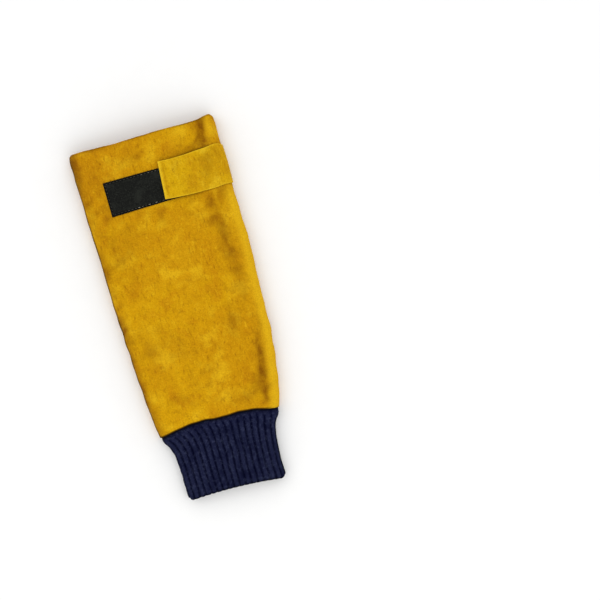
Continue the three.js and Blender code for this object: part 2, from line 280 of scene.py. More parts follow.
# The light: the sky's strength, and each lamp's place, size, power and colour
SKY = 0.98
LAMPS = {
    "key_lamp": ((0.6, -1.2, 1.9), 1.9, 7.5, (1.0, 0.985, 0.96)),
    "fill_lamp": ((-1.2, 0.9, 1.8), 1.6, 4.0, (0.97, 0.985, 1.0)),
}
FLOOR_REACH = 8.0

CROWN, SEAM, BACK, FOLDED = range(4)
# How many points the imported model's rings have on each of these four sides, and how many times as
# many the knit's rings have before they are cut into ribs
RING_COUNTS = np.array([24, 8, 14, 8])
KNIT_SAMPLING = 6

SECTION = [("at", float), ("left", float), ("right", float), ("height", float), ("fold", float)]

# Leather edges as shares of UPPER_WIDTH from the centre line, height of CROWN_HEIGHT, fold of
# FOLD_RADIUS, at shares of LEATHER_LENGTH from the rim.
LEATHER_SECTIONS = np.array([
    (0.000, 0.4997, 0.5010, 1.00, 1.00),
    (0.083, 0.5007, 0.5025, 0.99, 1.00),
    (0.159, 0.4929, 0.5085, 0.97, 1.00),
    (0.260, 0.4890, 0.5080, 0.95, 0.98),
    (0.337, 0.4805, 0.5135, 0.94, 0.97),
    (0.438, 0.4742, 0.5208, 0.92, 0.96),
    (0.590, 0.4640, 0.5100, 0.90, 0.95),
    (0.743, 0.4468, 0.5070, 0.88, 0.93),
    (0.844, 0.4312, 0.4852, 0.86, 0.91),
    (0.946, 0.4125, 0.4555, 0.82, 0.88),
    (1.000, 0.3950, 0.4255, 0.78, 0.85),
], dtype=SECTION)

# Knit edges as shares of CUFF_WIDTH, CUFF_HEIGHT and CUFF_FOLD, at shares of CUFF_SHOWN.
CUFF_SECTIONS = np.array([
    (0.000, 0.5860, 0.6314, 1.12, 1.08),
    (0.090, 0.5557, 0.6107, 1.09, 1.06),
    (0.200, 0.5264, 0.5743, 1.05, 1.03),
    (0.305, 0.5056, 0.5546, 1.02, 1.01),
    (0.410, 0.4960, 0.5425, 1.00, 1.00),
    (0.520, 0.4884, 0.5359, 0.99, 1.00),
    (0.730, 0.4860, 0.5283, 0.97, 0.98),
    (0.940, 0.4820, 0.5350, 0.96, 0.97),
    (1.000, 0.4790, 0.5320, 0.95, 0.95),
], dtype=SECTION)

# The line of the rim: its rise as a share of RIM_RISE at shares of the width from the folded edge.
RIM_LINE = np.array([
    (0.000, -0.04),
    (0.040, -0.16),
    (0.120, -0.08),
    (0.230, -0.28),
    (0.335, -0.33),
    (0.500, -0.13),
    (0.665, 0.07),
    (0.800, 0.07),
    (0.880, 0.25),
    (0.935, 0.64),
    (0.970, 0.85),
    (1.000, 0.86),
], dtype=[("at", float), ("rise", float)])

# Dips of the lower edge: at and breadth are shares of half the width, depth a share of SEAM_ARCH.
LOWER_DIPS = np.array([
    (0.87, 0.22, 0.42),
    (-0.95, 0.25, 0.30),
], dtype=[(n, float) for n in ("at", "breadth", "depth")])

# Small rises and hollows of the same edge, in millimetres, and the steps of its stitching.
LOWER_WAVES = np.array([
    (0.05, 0.20, -1.7),
    (-0.40, 0.25, 0.9),
], dtype=[(n, float) for n in ("at", "breadth", "rise")])
LOWER_STEP = 0.25
LOWER_STEP_TURNS = 23.0

# Folds pressed into the front: at and reach are shares of LEATHER_LENGTH, inset from the right edge,
# breadth and lean shares of UPPER_WIDTH, depth a share of CROWN_HEIGHT. The first nine are the solid
# model's; the rest are small dents and creases of the same kind.
FOLDS = np.array([
    (0.020, 0.093, 0.085, 0.034, 0.130, 0.045),
    (0.040, 0.042, 0.050, 0.036, -0.060, 0.000),
    (0.262, 0.085, 0.028, 0.035, 0.070, 0.000),
    (0.280, 0.170, 0.040, 0.035, 0.050, 0.010),
    (0.420, 0.135, 0.170, 0.050, 0.070, -0.020),
    (0.690, 0.240, 0.060, 0.040, 0.040, 0.010),
    (0.840, 0.088, 0.120, 0.030, 0.100, 0.000),
    (0.700, 0.800, 0.080, 0.070, 0.040, 0.000),
    (0.360, 0.860, 0.100, 0.060, 0.040, 0.010),
    (0.030, 0.097, 0.060, 0.014, 0.050, 0.034),
    (0.270, 0.105, 0.018, 0.012, 0.040, 0.000),
    (0.300, 0.050, 0.020, 0.018, 0.040, 0.010),
    (0.830, 0.098, 0.060, 0.010, 0.045, 0.006),
    (0.930, 0.085, 0.055, 0.012, 0.045, -0.004),
    (0.760, 0.060, 0.035, 0.014, 0.035, 0.012),
    (0.960, 0.200, 0.030, 0.040, 0.030, 0.010),
    (0.940, 0.300, 0.030, 0.030, 0.025, 0.000),
    (0.050, 0.965, 0.035, 0.018, 0.045, 0.000),
    (0.740, 0.955, 0.030, 0.020, 0.040, 0.000),
    (0.600, 0.965, 0.040, 0.020, 0.030, 0.000),
], dtype=[(n, float) for n in ("at", "inset", "reach", "breadth", "depth", "lean")])

# Dark marks on the leather, partly handling stains and partly painted shade in the valley beside the
# lobe at the rim, above the strap and in the folds and puckers along the seam edge: centre from the
# centre line and down from the rim, half sizes, strength.
MARKS = np.array([
    (-20, 24, 13, 8, 0.40), (-8, 22, 5, 5, 0.25), (-63, 76, 10, 7, 0.35), (-84, 66, 5, 6, 0.50),
    (-70, 40, 16, 20, 0.25), (-45, 112, 8, 14, 0.30), (-24, 96, 8, 8, 0.25), (-67, 130, 4, 12, 0.40),
    (-52, 136, 9, 7, 0.35), (-75, 147, 9, 6, 0.30), (-1, 104, 5, 10, 0.30), (62, 102, 4, 10, 0.50),
    (81, 90, 6, 4, 0.65), (60, 122, 10, 8, 0.45), (69, 135, 8, 15, 0.45), (64, 160, 7, 10, 0.35),
    (73, 177, 8, 20, 0.38), (72, 206, 9, 22, 0.27), (51, 251, 7, 13, 0.50), (50, 238, 3, 8, 0.30),
    (-56, 259, 9, 9, 0.50), (-64, 240, 4, 12, 0.25), (-38, 238, 7, 6, 0.30), (-80, 215, 5, 12, 0.30),
    (-78, 238, 6, 8, 0.35), (-20, 272, 14, 7, 0.25), (75, 285, 4, 16, 0.40), (71, 308, 6, 18, 0.50),
    (69, 330, 6, 14, 0.60), (66, 350, 5, 9, 0.50), (61, 331, 9, 13, 0.46), (50, 343, 8, 8, 0.38),
    (38, 346, 8, 8, 0.35), (-40, 326, 12, 7, 0.30), (-12, 312, 7, 12, 0.25), (-24, 336, 6, 5, 0.30),
    (-78, 282, 5, 14, 0.45), (-86, 20, 5, 15, 0.60), (-60, 2, 34, 3, 0.45), (71, 14, 7, 15, 0.35),
    (75.5, 8, 3.5, 11, 0.55), (72, 21, 4, 9, 0.55), (68, 28, 10, 4.5, 0.75), (79, 0, 3, 4, 0.50),
    (45, 30, 22, 4, 0.35), (1, 100, 5, 9, 0.40),
    (-66, 90, 8, 5, 0.35), (-72, 112, 3, 9, 0.35), (-50, 158, 4, 10, 0.30), (30, 108, 8, 5, 0.20),
    (86, 240, 4, 10, 0.30), (82, 261, 4, 11, 0.50), (8, 299, 9, 10, 0.32),
    (-21, 257, 12, 10, 0.28), (-82, 183, 4, 10, 0.45), (-83, 157, 4, 8, 0.40), (-81, 256, 4, 12, 0.45),
], dtype=[(n, float) for n in ("x", "along", "wide", "tall", "strength")])

# The same columns for pale marks: nap rubbed pale in places, and painted highlights on the lobe beside
# the seam at the rim and along the seam edge.
PALE_MARKS = np.array([
    (84, 13, 5, 9, 0.90), (-76, 4, 11, 1.5, 0.45), (38, 18, 12, 9, 0.30), (88, 110, 4, 10, 0.50),
    (-30, 66, 6, 3, 0.25), (8, 150, 16, 30, 0.25), (-52, 250, 8, 22, 0.25), (2, 88, 20, 3, 0.30),
], dtype=MARKS.dtype)

# Handling marks on the strap, in the same columns.
STRAP_MARKS = np.array([
    (71, 50, 8, 16, 0.45), (64, 66, 7, 8, 0.30), (84, 54, 4, 12, 0.20), (44, 72, 9, 7, 0.20),
    (28, 49, 6, 5, 0.15), (52, 46, 8, 4, 0.15), (36, 60, 4, 4, 0.15),
], dtype=MARKS.dtype)


def smooth(t):
    """Nought to one with level ends: three squares less two cubes of the clamped value."""
    c = np.clip(t, 0, 1)
    return c * c * (3 - 2 * c)


def mix(a, b, f):
    """The value a share f of the way from a to b."""
    return a + (b - a) * f


def bell(t):
    """One at nought and fading on both sides: e to the power of minus the square."""
    return np.exp(-(t**2))


def wander(a, b, size, seed):
    """A gentle random field: the sum of sixteen plane waves whose length is about size."""
    rng = np.random.default_rng(seed)
    count = 16
    turn, phase = rng.uniform(0, 2 * np.pi, (2, count))
    pitch = size * rng.uniform(0.7, 1.6, count)
    field = sum(
        np.sin(2 * np.pi * (a * np.cos(t) + b * np.sin(t)) / p + f)
        for t, p, f in zip(turn, pitch, phase)
    )
    return field / math.sqrt(count / 2)


def waves(table, x, along):
    """The sum of random fields, each its height times the field of its length, drawn out sideways."""
    return sum(height * wander(draw * x, along, size, seed) for height, size, draw, seed in table)


def column(table, name, at):
    """A column of a table at any station: a cubic through its rows, level with its neighbours."""
    t = np.clip(at, 0, 1)
    x, v = table["at"], table[name]
    low, high = np.maximum(np.arange(len(x)) - 1, 0), np.minimum(np.arange(len(x)) + 1, len(x) - 1)
    slope = (v[high] - v[low]) / (x[high] - x[low])
    k = np.clip(np.searchsorted(x, t, side="right") - 1, 0, len(x) - 2)
    h = x[k + 1] - x[k]
    s = (t - x[k]) / h
    return (
        (2 * s**3 - 3 * s**2 + 1) * v[k]
        + (s**3 - 2 * s**2 + s) * h * slope[k]
        + (3 * s**2 - 2 * s**3) * v[k + 1]
        + (s**3 - s**2) * h * slope[k + 1]
    )


def section_of(table, at, width, height, fold):
    """Left edge, right edge, height and fold radius at a station: each column times its size."""
    sizes = {"left": -width, "right": width, "height": height, "fold": fold}
    return tuple(column(table, name, np.asarray(at, float)) * size for name, size in sizes.items())


def leather_section(along):
    """The leather's section at a distance from the rim."""
    at = along / LEATHER_LENGTH
    return section_of(LEATHER_SECTIONS, at, UPPER_WIDTH, CROWN_HEIGHT, FOLD_RADIUS)


def cuff_section(below):
    """The knit's own section at a distance below the leather."""
    return section_of(CUFF_SECTIONS, below / CUFF_SHOWN, CUFF_WIDTH, CUFF_HEIGHT, CUFF_FOLD)


def section_points(section, side, u, lift_at=np.zeros_like):
    """A flat back, a round fold at each side, and a parabola between them that leaves the folds at
    their own slope. u runs from 0 to 1 along each side, and lift_at says how high the back is carried.
    Returns x, z and the outward direction."""
    left, right, height, fold = section
    reach = (right - left) / 2 - fold
    tilt = np.arctan(2 * (height - 2 * fold) / reach)
    half = reach + fold * np.sin(tilt)
    gain = np.tan(tilt) * half / 2
    s = 2 * u - 1
    slope = 2 * gain * s / half
    size = np.hypot(slope, 1)
    crown_z = fold * (1 + np.cos(tilt)) + gain * (1 - s * s)
    crown = ((left + right) / 2 + s * half, crown_z, slope / size, 1 / size)
    turn = np.where(side == SEAM, 1.0, -1.0)
    sweep = np.pi - tilt
    angle = np.where(side == SEAM, np.pi / 2 - tilt - u * sweep, u * sweep - np.pi / 2)
    edge = np.where(turn > 0, right, left)
    x_round = edge - turn * fold * (1 - np.cos(angle))
    drop = np.where(angle < 0, fold - lift_at(x_round), fold)
    rounded = (x_round, fold + drop * np.sin(angle), turn * np.cos(angle), np.sin(angle))
    x_back = right - fold - 2 * u * reach
    back = (x_back, lift_at(x_back), 0 * x_back, 0 * x_back - 1)
    return [np.select([side == CROWN, side == BACK], [c, b], r) for c, b, r in zip(crown, back, rounded)]


# The leather's section where the strap crosses it, the sideways place at which the strap leaves the
# crown, those of its tip and of the loop patch's free end, and the share of the back its root covers
STRAP_LEFT, STRAP_RIGHT, _, STRAP_FOLD = map(float, leather_section(STRAP_DROP))
STRAP_BEND = STRAP_RIGHT - STRAP_FOLD
STRAP_TIP = STRAP_RIGHT - STRAP_REACH
LOOP_START = float(leather_section(LOOP_DROP)[0]) + LOOP_INSET
BACK_WIDTH = STRAP_RIGHT - STRAP_LEFT - 2 * STRAP_FOLD
ROOT_SHARE = (STRAP_BACK - STRAP_FOLD) / BACK_WIDTH


def past_strap(along):
    """How far a place lies above or below the strap's band."""
    return np.abs(along - STRAP_DROP) - STRAP_ROOT_WIDTH / 2


def lift_under(x, along):
    """How high the back is carried where the strap passes under it."""
    across = STRAP_RIGHT - STRAP_BACK - LIFT_MARGIN - x
    beyond = past_strap(along) - LIFT_MARGIN
    full = CLEARANCE + STRAP_THICKNESS
    return full * smooth(1 - across / LIFT_RAMP) * smooth(1 - beyond / LIFT_RAMP)


def free_of_strap(along):
    """Nought in the band that the strap holds down, and one away from it."""
    return smooth(past_strap(along) / PRESS_RAMP)


def fold_depth(x, along):
    """The sum of the folds, each a bell across and along, without those that the strap holds down."""
    edge = leather_section(along)[1]
    depth = 0.0
    for f in FOLDS:
        down = (along / LEATHER_LENGTH - f["at"]) / f["reach"]
        across = (edge - x) / UPPER_WIDTH - f["inset"] - f["lean"] * down
        depth = depth + f["depth"] * bell(down) * bell(across / f["breadth"])
    return depth * CROWN_HEIGHT * free_of_strap(along)


def corner_cut(x, left, right, radius):
    """How far a round corner cuts an edge back beside its two ends."""
    inner = np.clip(1 - np.minimum(x - left, right - x) / radius, 0, 1)
    return radius * (math.sqrt(1 + CORNER_EASE) - np.sqrt(1 + CORNER_EASE - inner * inner))


def lengthwise(x, along):
    """Minus the distance from the rim, with the rim's own line, its round corners, and the arches and
    dips of the lower edge."""
    left, right = leather_section(np.minimum(along, LEATHER_LENGTH))[:2]
    s = (2 * x - left - right) / (right - left)
    share = np.minimum(1, along / LEATHER_LENGTH)
    rise = (RIM_RISE * column(RIM_LINE, "rise", (s + 1) / 2) + rim_waver(x)) * np.exp(-along / RIM_FADE)
    corner = corner_cut(x, left, right, RIM_CORNER) * np.exp(-along / RIM_CORNER)
    dips = sum(d["depth"] * bell((s - d["at"]) / d["breadth"]) for d in LOWER_DIPS)
    arch = (SEAM_ARCH * (1 - s * s - dips) + lower_edge_waver(s)) * share**8
    return -along + rise - corner + arch


def lower_edge_waver(s):
    """The lower edge's small waves, each a bell, and a sine for the steps of its stitching, fading
    towards both folds with one less the square of the share of the half width."""
    rises = sum(w["rise"] * bell((s - w["at"]) / w["breadth"]) for w in LOWER_WAVES)
    return np.clip(1 - s * s, 0, 1) * (rises + LOWER_STEP * np.sin(LOWER_STEP_TURNS * s))


def rim_waver(x):
    """A knife-cut rim is never quite straight."""
    return RIM_WAVE * wander(x, 0 * x, RIM_WAVE_LENGTH, 11)


def surface_relief(x, along, side, nz):
    """How far the leather stands off its plain section: folds in, lobes and puckers out. It dies
    away under the strap and towards the knit, and the back only ever lifts."""
    left, right = leather_section(along)[:2]
    upper = np.clip(nz, 0, 1)
    free = mix(0.25, 1, free_of_strap(along))
    held = 1 - smooth((along - LEATHER_LENGTH + STEADY_BY_KNIT) / 20)
    aside = smooth((nz + 0.6) / 0.6)
    clear = smooth(past_strap(along) / 30)
    by_seam = bell((right - x) / SEAM_PUCKER_REACH) * aside * clear
    by_fold = bell((x - left) / FOLD_CREASE_REACH) * aside
    front = waves(HILLS, x, along) * upper + waves(SEAM_PUCKERS, x, along) * by_seam
    front = front + waves(FOLD_CREASES, x, along) * by_fold
    inwards = smooth((x - left) / BACK_LIFT_FADE) * smooth((right - x) / BACK_LIFT_FADE)
    lifted = BACK_LIFT * np.clip(wander(x, along, 60, 8), 0, 2) * (lift_under(x, along) < 0.01)
    standing = np.where(side == BACK, -lifted * inwards, front)
    return standing * free * held - fold_depth(x, along) * upper


def leather_surface(side, u, along, out=0.0):
    """A point of the leather's outer face moved outwards by out."""
    side, u, along, out = np.broadcast_arrays(side, u, along, out)
    x, z, nx, nz = section_points(leather_section(along), side, u, lambda q: lift_under(q, along))
    shift = out + surface_relief(x, along, side, nz)
    return np.stack([x + nx * shift, lengthwise(x, along), z + nz * shift], -1), x


def grid_faces(rows, around, wrap_rows, wrap_around):
    """The four corners of every cell of a grid of points numbered row by row."""
    i = np.arange(rows if wrap_rows else rows - 1)[:, None]
    j = np.arange(around if wrap_around else around - 1)[None, :]
    k, m = (i + 1) % rows, (j + 1) % around
    return np.stack([i * around + j, i * around + m, k * around + m, k * around + j], -1).reshape(-1, 4)


def add(name, data):
    """Puts a new object with this data into the scene."""
    made = bpy.data.objects.new(name, data)
    bpy.context.scene.collection.objects.link(made)
    return made


def new_piece(name, points, faces, material, marks, uv=None):
    """A mesh piece from points in millimetres of the sleeve's own frame, its faces turned outwards."""
    corners = points[faces].astype(float)
    a, b, c, d = (corners[:, k] for k in range(4))
    volume = np.einsum("ij,ij->i", a, np.cross(b, c)) + np.einsum("ij,ij->i", a, np.cross(c, d))
    if volume.sum() < 0:
        faces = faces[:, ::-1]
        uv = None if uv is None else uv[:, ::-1]
    mesh = bpy.data.meshes.new(name)
    mesh.vertices.add(len(points))
    mesh.vertices.foreach_set("co", ((points + SHIFT) * MM).ravel())
    mesh.loops.add(faces.size)
    mesh.loops.foreach_set("vertex_index", faces.ravel().astype(np.int32))
    mesh.polygons.add(len(faces))
    mesh.polygons.foreach_set("loop_start", np.arange(0, faces.size, 4, dtype=np.int32))
    mesh.polygons.foreach_set("use_smooth", np.full(len(faces), True))
    for label, values in marks.items():
        mesh.attributes.new(label, "FLOAT", "POINT").data.foreach_set("value", values.ravel())
    if uv is not None:
        mesh.uv_layers.new(name="UVMap").data.foreach_set("uv", uv.reshape(-1, 2).ravel())
    mesh.update(calc_edges=True)
    mesh.materials.append(material)
    return add(name, mesh)


def declare(piece, node, slot_name, flat, held, rests_on):
    """Says which solid a sheet stands for, its finish, its size laid out flat and how it is held."""
    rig.ride(piece, "root")
    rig.replaces(piece, node)
    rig.slot(piece, slot_name)
    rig.sheet(piece, flat=flat, held=held, rests_on=rests_on)


class Nodes:
    """A material's node tree, with short calls for the few nodes that the finishes are made of."""

    def __init__(self, name):
        self.material = bpy.data.materials.new(name)
        self.material.use_nodes = True
        self.tree = self.material.node_tree
        self.tree.nodes.clear()
        self.shader = self.tree.nodes.new("ShaderNodeBsdfPrincipled")
        output = self.tree.nodes.new("ShaderNodeOutputMaterial")
        self.tree.links.new(self.shader.outputs[0], output.inputs[0])
        self.object = self.tree.nodes.new("ShaderNodeTexCoord").outputs["Object"]

    def put(self, socket, given):
        """Links a socket to another one, or gives it a value."""
        if isinstance(given, bpy.types.NodeSocket):
            self.tree.links.new(given, socket)
        else:
            socket.default_value = (*given, 1.0) if socket.type == "RGBA" else given

    def fill(self, made, inputs, out=0):
        """Links or sets a node's inputs, by name or number, and returns one of its outputs."""
        for key, given in inputs.items():
            self.put(made.inputs[key], given)
        return made.outputs[out]

    def node(self, kind, out=0, /, **inputs):
        """Makes a node, sets its named inputs and returns one output."""
        return self.fill(self.tree.nodes.new(kind), inputs, out)

    def attribute(self, name):
        """A value that the piece's own points carry."""
        made = self.tree.nodes.new("ShaderNodeAttribute")
        made.attribute_name = name
        return made.outputs["Fac"]

    def stretched(self, scale, turn):
        """Object coordinates drawn out along the axes and turned about the upright one."""
        return self.node("ShaderNodeMapping", Vector=self.object, Scale=scale, Rotation=(0, 0, turn))

    def noise(self, scale, detail, rough=0.55, at=None):
        """Fractal noise of a scale."""
        at = self.object if at is None else at
        return self.node("ShaderNodeTexNoise", Vector=at, Scale=scale, Detail=detail, Roughness=rough)

    def spread(self, value, low, high, to_low=0.0, to_high=1.0):
        """Stretches a value's range from low and high to two others, and keeps it between them."""
        made = self.tree.nodes.new("ShaderNodeMapRange")
        made.interpolation_type = "SMOOTHSTEP"
        return self.fill(made, dict(enumerate((value, low, high, to_low, to_high))))

    def math(self, what, a, b=0.0):
        """One sum, product or other step on one or two values."""
        made = self.tree.nodes.new("ShaderNodeMath")
        made.operation = what
        return self.fill(made, {0: a, 1: b})

    def times(self, a, b):
        """The product of two values."""
        return self.math("MULTIPLY", a, b)

    def blend(self, factor, a, b):
        """The colour a share of the way from a to b."""
        made = self.tree.nodes.new("ShaderNodeMix")
        made.data_type = "RGBA"
        return self.fill(made, {0: factor, 6: a, 7: b}, 2)

    def layers(self, colour, *tones):
        """The colour with each of the tones laid over it, by the factor in front of the tone."""
        for factor, tone in tones:
            colour = self.blend(factor, colour, tone)
        return colour

    def bump(self, height, distance, strength, under=None):
        """A normal tilted by a height, on top of another one where given."""
        lower = {} if under is None else {"Normal": under}
        return self.node("ShaderNodeBump", Strength=strength, Distance=distance, Height=height, **lower)

    def finish(self, colour, roughness, normal, **fixed):
        """Links the three to the shader, sets its fixed values and returns the material."""
        self.fill(self.shader, {"Base Color": colour, "Roughness": roughness, "Normal": normal})
        for name, value in fixed.items():
            self.shader.inputs[name.replace("_", " ")].default_value = value
        return self.material


def srgb(*levels):
    """Linear colour from levels of 0 to 255."""
    c = np.array(levels) / 255
    return tuple(float(v) for v in np.where(c <= 0.04045, c / 12.92, ((c + 0.055) / 1.055) ** 2.4))


def split_suede(name, golden, orange, pale, brown, dark_line_brown):
    """Napped split leather: slow drifts of tone, clouds and blotches, short brushed strokes of nap
    with flecks, handling marks, and painted shade and highlights. The attributes mark, dark, edge and
    warm say where: mark lays brown that is partly stains and partly painted shade, dark lays painted
    shade lines and a dark rim line, edge lays pale that is partly rubbed nap and partly painted
    highlight, and warm lays orange."""
    n = Nodes(name)
    drift = n.spread(n.noise(14.0, 2.0), 0.36, 0.64)
    cloud = n.noise(33.0, 4.0, 0.6)
    blotch = n.noise(92.0, 4.0, 0.66)
    strokes = n.noise(1.0, 4.0, 0.65, n.stretched((430.0, 120.0, 260.0), 0.35))
    nap = n.noise(640.0, 3.0, 0.7)
    fleck = n.spread(n.noise(300.0, 3.0, 0.7), 0.6, 0.78)
    patchy = n.spread(n.noise(70.0, 5.0, 0.72), 0.3, 0.7, 0.55, 1.1)
    colour = n.layers(
        golden,
        (n.times(drift, 0.5), orange),
        (n.times(n.attribute("warm"), 0.55), orange),
        (n.spread(cloud, 0.5, 0.7, 0.0, 0.75), pale),
        (n.spread(cloud, 0.5, 0.3, 0.0, 0.75), orange),
        (n.spread(blotch, 0.48, 0.28, 0.0, 0.3), brown),
        (n.spread(blotch, 0.55, 0.75, 0.0, 0.45), pale),
        (n.spread(strokes, 0.46, 0.27, 0.0, 0.55), brown),
        (n.spread(strokes, 0.55, 0.75, 0.0, 0.65), pale),
        (n.times(fleck, 0.55), brown),
        # mark and dark lay painted shade as well as stains, and edge lays painted highlights as well as rubbed nap
        (n.times(n.attribute("mark"), patchy), brown),
        (n.attribute("dark"), dark_line_brown),
        (n.times(n.attribute("edge"), 0.85), pale),
        (n.spread(nap, 0.35, 0.65, 0.0, 0.2), (0.0, 0.0, 0.0)),
    )
    combed = n.bump(strokes, 0.0006, 0.5, n.bump(blotch, 0.0012, 0.3))
    return n.finish(
        colour, n.spread(nap, 0.3, 0.7, 0.82, 0.98), n.bump(nap, 0.0004, 0.6, combed),
        Specular_IOR_Level=0.04, Sheen_Weight=0.08, Sheen_Roughness=0.5,
        Sheen_Tint=(1.0, 0.72, 0.1, 1.0),
    )


def rib_knit(name, ridge, valley, fuzz):
    """Rib knit: columns of V stitches laid out in the UV map, whose U counts wales and V courses. The
    attribute rib is nought in a valley and one on a ridge, and the valley tone is painted shade in the
    grooves between the ribs and between the stitches. Mark lays painted shade beside the seam, at the
    folded end and on the side faces."""
    n = Nodes(name)
    place = n.node("ShaderNodeUVMap")
    split = n.tree.nodes.new("ShaderNodeSeparateXYZ")
    n.tree.links.new(place, split.inputs[0])
    across = n.math("PINGPONG", split.outputs[0], 0.5)
    course = n.math("FRACT", n.math("ADD", split.outputs[1], n.times(across, 1.3)))
    strand = n.math("SINE", n.times(course, math.pi))
    stitch = n.times(n.math("POWER", strand, 0.6), n.spread(across, 0.0, 0.14))
    fuzziness = n.noise(900.0, 3.0, 0.7)
    # The valley tone is painted shade in the grooves, and mark lays painted shade.
    colour = n.layers(
        valley,
        (n.spread(n.attribute("rib"), 0.15, 1.0), ridge),
        (n.spread(stitch, 0.1, 0.8, 0.45, 0.0), valley),
        (n.spread(fuzziness, 0.5, 0.75, 0.0, 0.65), fuzz),
        (n.spread(n.noise(260.0, 3.0, 0.7), 0.48, 0.7, 0.0, 0.7), fuzz),
        (n.spread(n.noise(70.0, 3.0, 0.6), 0.55, 0.3, 0.0, 0.6), valley),
        (n.attribute("mark"), (0.001, 0.001, 0.002)),
    )
    woolly = n.bump(fuzziness, 0.0004, 0.4)
    return n.finish(
        colour, n.spread(fuzziness, 0.3, 0.7, 0.85, 1.0), n.bump(stitch, 0.0006, 0.75, woolly),
        Specular_IOR_Level=0.04, Sheen_Weight=0.02, Sheen_Roughness=0.5,
        Sheen_Tint=(0.35, 0.38, 0.7, 1.0),
    )


def fastening_tape(name, dark, paler, scale):
    """Woven tape with a raised nap of fine loops or hooks: speckle of two tones over a plain weave.
    The attribute mark is one on the flat woven border."""
    n = Nodes(name)
    loops = n.noise(scale, 2.0, 0.7)
    weave = n.node("ShaderNodeTexWave", 1, Vector=n.object, Scale=640.0)
    brushed = n.noise(1.0, 3.0, 0.6, n.stretched((60.0, 240.0, 100.0), 0.2))
    colour = n.layers(
        dark,
        (n.spread(loops, 0.45, 0.75), paler),
        (n.spread(brushed, 0.55, 0.8, 0.0, 0.5), paler),
        (n.spread(n.noise(55.0, 3.0, 0.6), 0.5, 0.72, 0.0, 0.5), paler),
        (n.times(n.attribute("mark"), 0.93), (0.0012, 0.0012, 0.001)),
    )
    cord = n.bump(weave, 0.0002, 0.2)
    return n.finish(
        colour, n.spread(loops, 0.3, 0.7, 0.75, 0.95), n.bump(loops, 0.0005, 0.8, cord),
        Specular_IOR_Level=0.12, Sheen_Weight=0.05, Sheen_Roughness=0.4,
        Sheen_Tint=(0.8, 0.85, 0.8, 1.0),
    )


def sewing_thread(name, tone, dark):
    """Twisted thread: fine slanting plies and a little change of tone along its length. The attribute
    worn says where it is bright."""
    n = Nodes(name)
    slanted = n.stretched((1.0, 1.0, 1.0), 0.8)
    plies = n.node("ShaderNodeTexWave", 1, Vector=slanted, Scale=900.0)
    tone_drift = n.noise(48.0, 3.0, 0.6)
    bright = n.times(n.spread(tone_drift, 0.3, 0.6, 0.35, 1.0), n.attribute("paler"))
    dull = n.spread(tone_drift, 0.3, 0.7, 0.55, 0.8)
    return n.finish(n.blend(bright, dark, tone), dull, n.bump(plies, 0.0001, 0.5), Specular_IOR_Level=0.3)


def marks_at(table, x, along):
    """The sum of a table's marks, each a bell across and along with a wandering outline."""
    outline = np.exp(0.45 * wander(x, along, 15, 21))
    total = 0.0
    for m in table:
        size = ((x - m["x"]) / m["wide"]) ** 2 + ((along - m["along"]) / m["tall"]) ** 2
        total = total + m["strength"] * np.exp(-size * outline)
    return 0.85 * np.clip(total, 0, 1)


def side_stations(counts):
    """The side and the share along it of every point of a ring."""
    side = np.repeat(np.arange(4), counts)
    share = np.concatenate([np.arange(n) / n for n in counts])
    return side, share


# The shift from the sleeve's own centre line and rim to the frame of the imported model, from the lowest
# point of the model's own ring along the lower edge
edge_side, edge_share = side_stations(RING_COUNTS)
edge_x = section_points(leather_section(LEATHER_LENGTH), edge_side, edge_share)[0]
body_low = np.array(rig.box("sleeve_body")[0]) / MM
SHIFT = np.array([
    body_low[0] + LEATHER_SECTIONS["left"][0] * UPPER_WIDTH,
    body_low[1] - lengthwise(edge_x, LEATHER_LENGTH).min(),
    0.0,
])


def beside_strap(x, along):
    """The painted brown shadow beside the strap's two edges, and the painted dark shade line in the corner
    between them and the leather. It runs on under the strap, and fades where the lobe beside the seam meets it."""
    over = np.clip((x - STRAP_TIP) / (STRAP_BEND - STRAP_TIP), 0, 1)
    half = mix(STRAP_END_WIDTH, STRAP_ROOT_WIDTH, smooth(over)) / 2
    middle = STRAP_DROP + np.maximum(0, STRAP_BEND - x) * STRAP_LEAN + STRAP_SAG * np.sin(np.pi * over)
    pinch = STRAP_PINCH * smooth((x - STRAP_BEND) / STRAP_FOLD)
    above, below = middle - half + pinch - along, along - middle - half
    inside = smooth((x - STRAP_TIP + 1) / 9)
    growth = mix(0.45, 1.0, smooth((x - 30) / 30)) * (1 - 0.75 * smooth((x - 73) / 8))
    upper = bell(np.clip(above, 0, None) / 1.3) * growth
    lower = 0.55 * bell(np.clip(below, 0, None) / 0.9)
    under = (above < 0) & (below < 0)
    line = 0.6 * inside * np.where(under, 1, np.where(above > 0, upper, lower))
    shade = 0.75 * bell(above / 5) * growth * (above > 0) + 0.3 * bell(below / 3) * (below > 0)
    return inside * shade, line


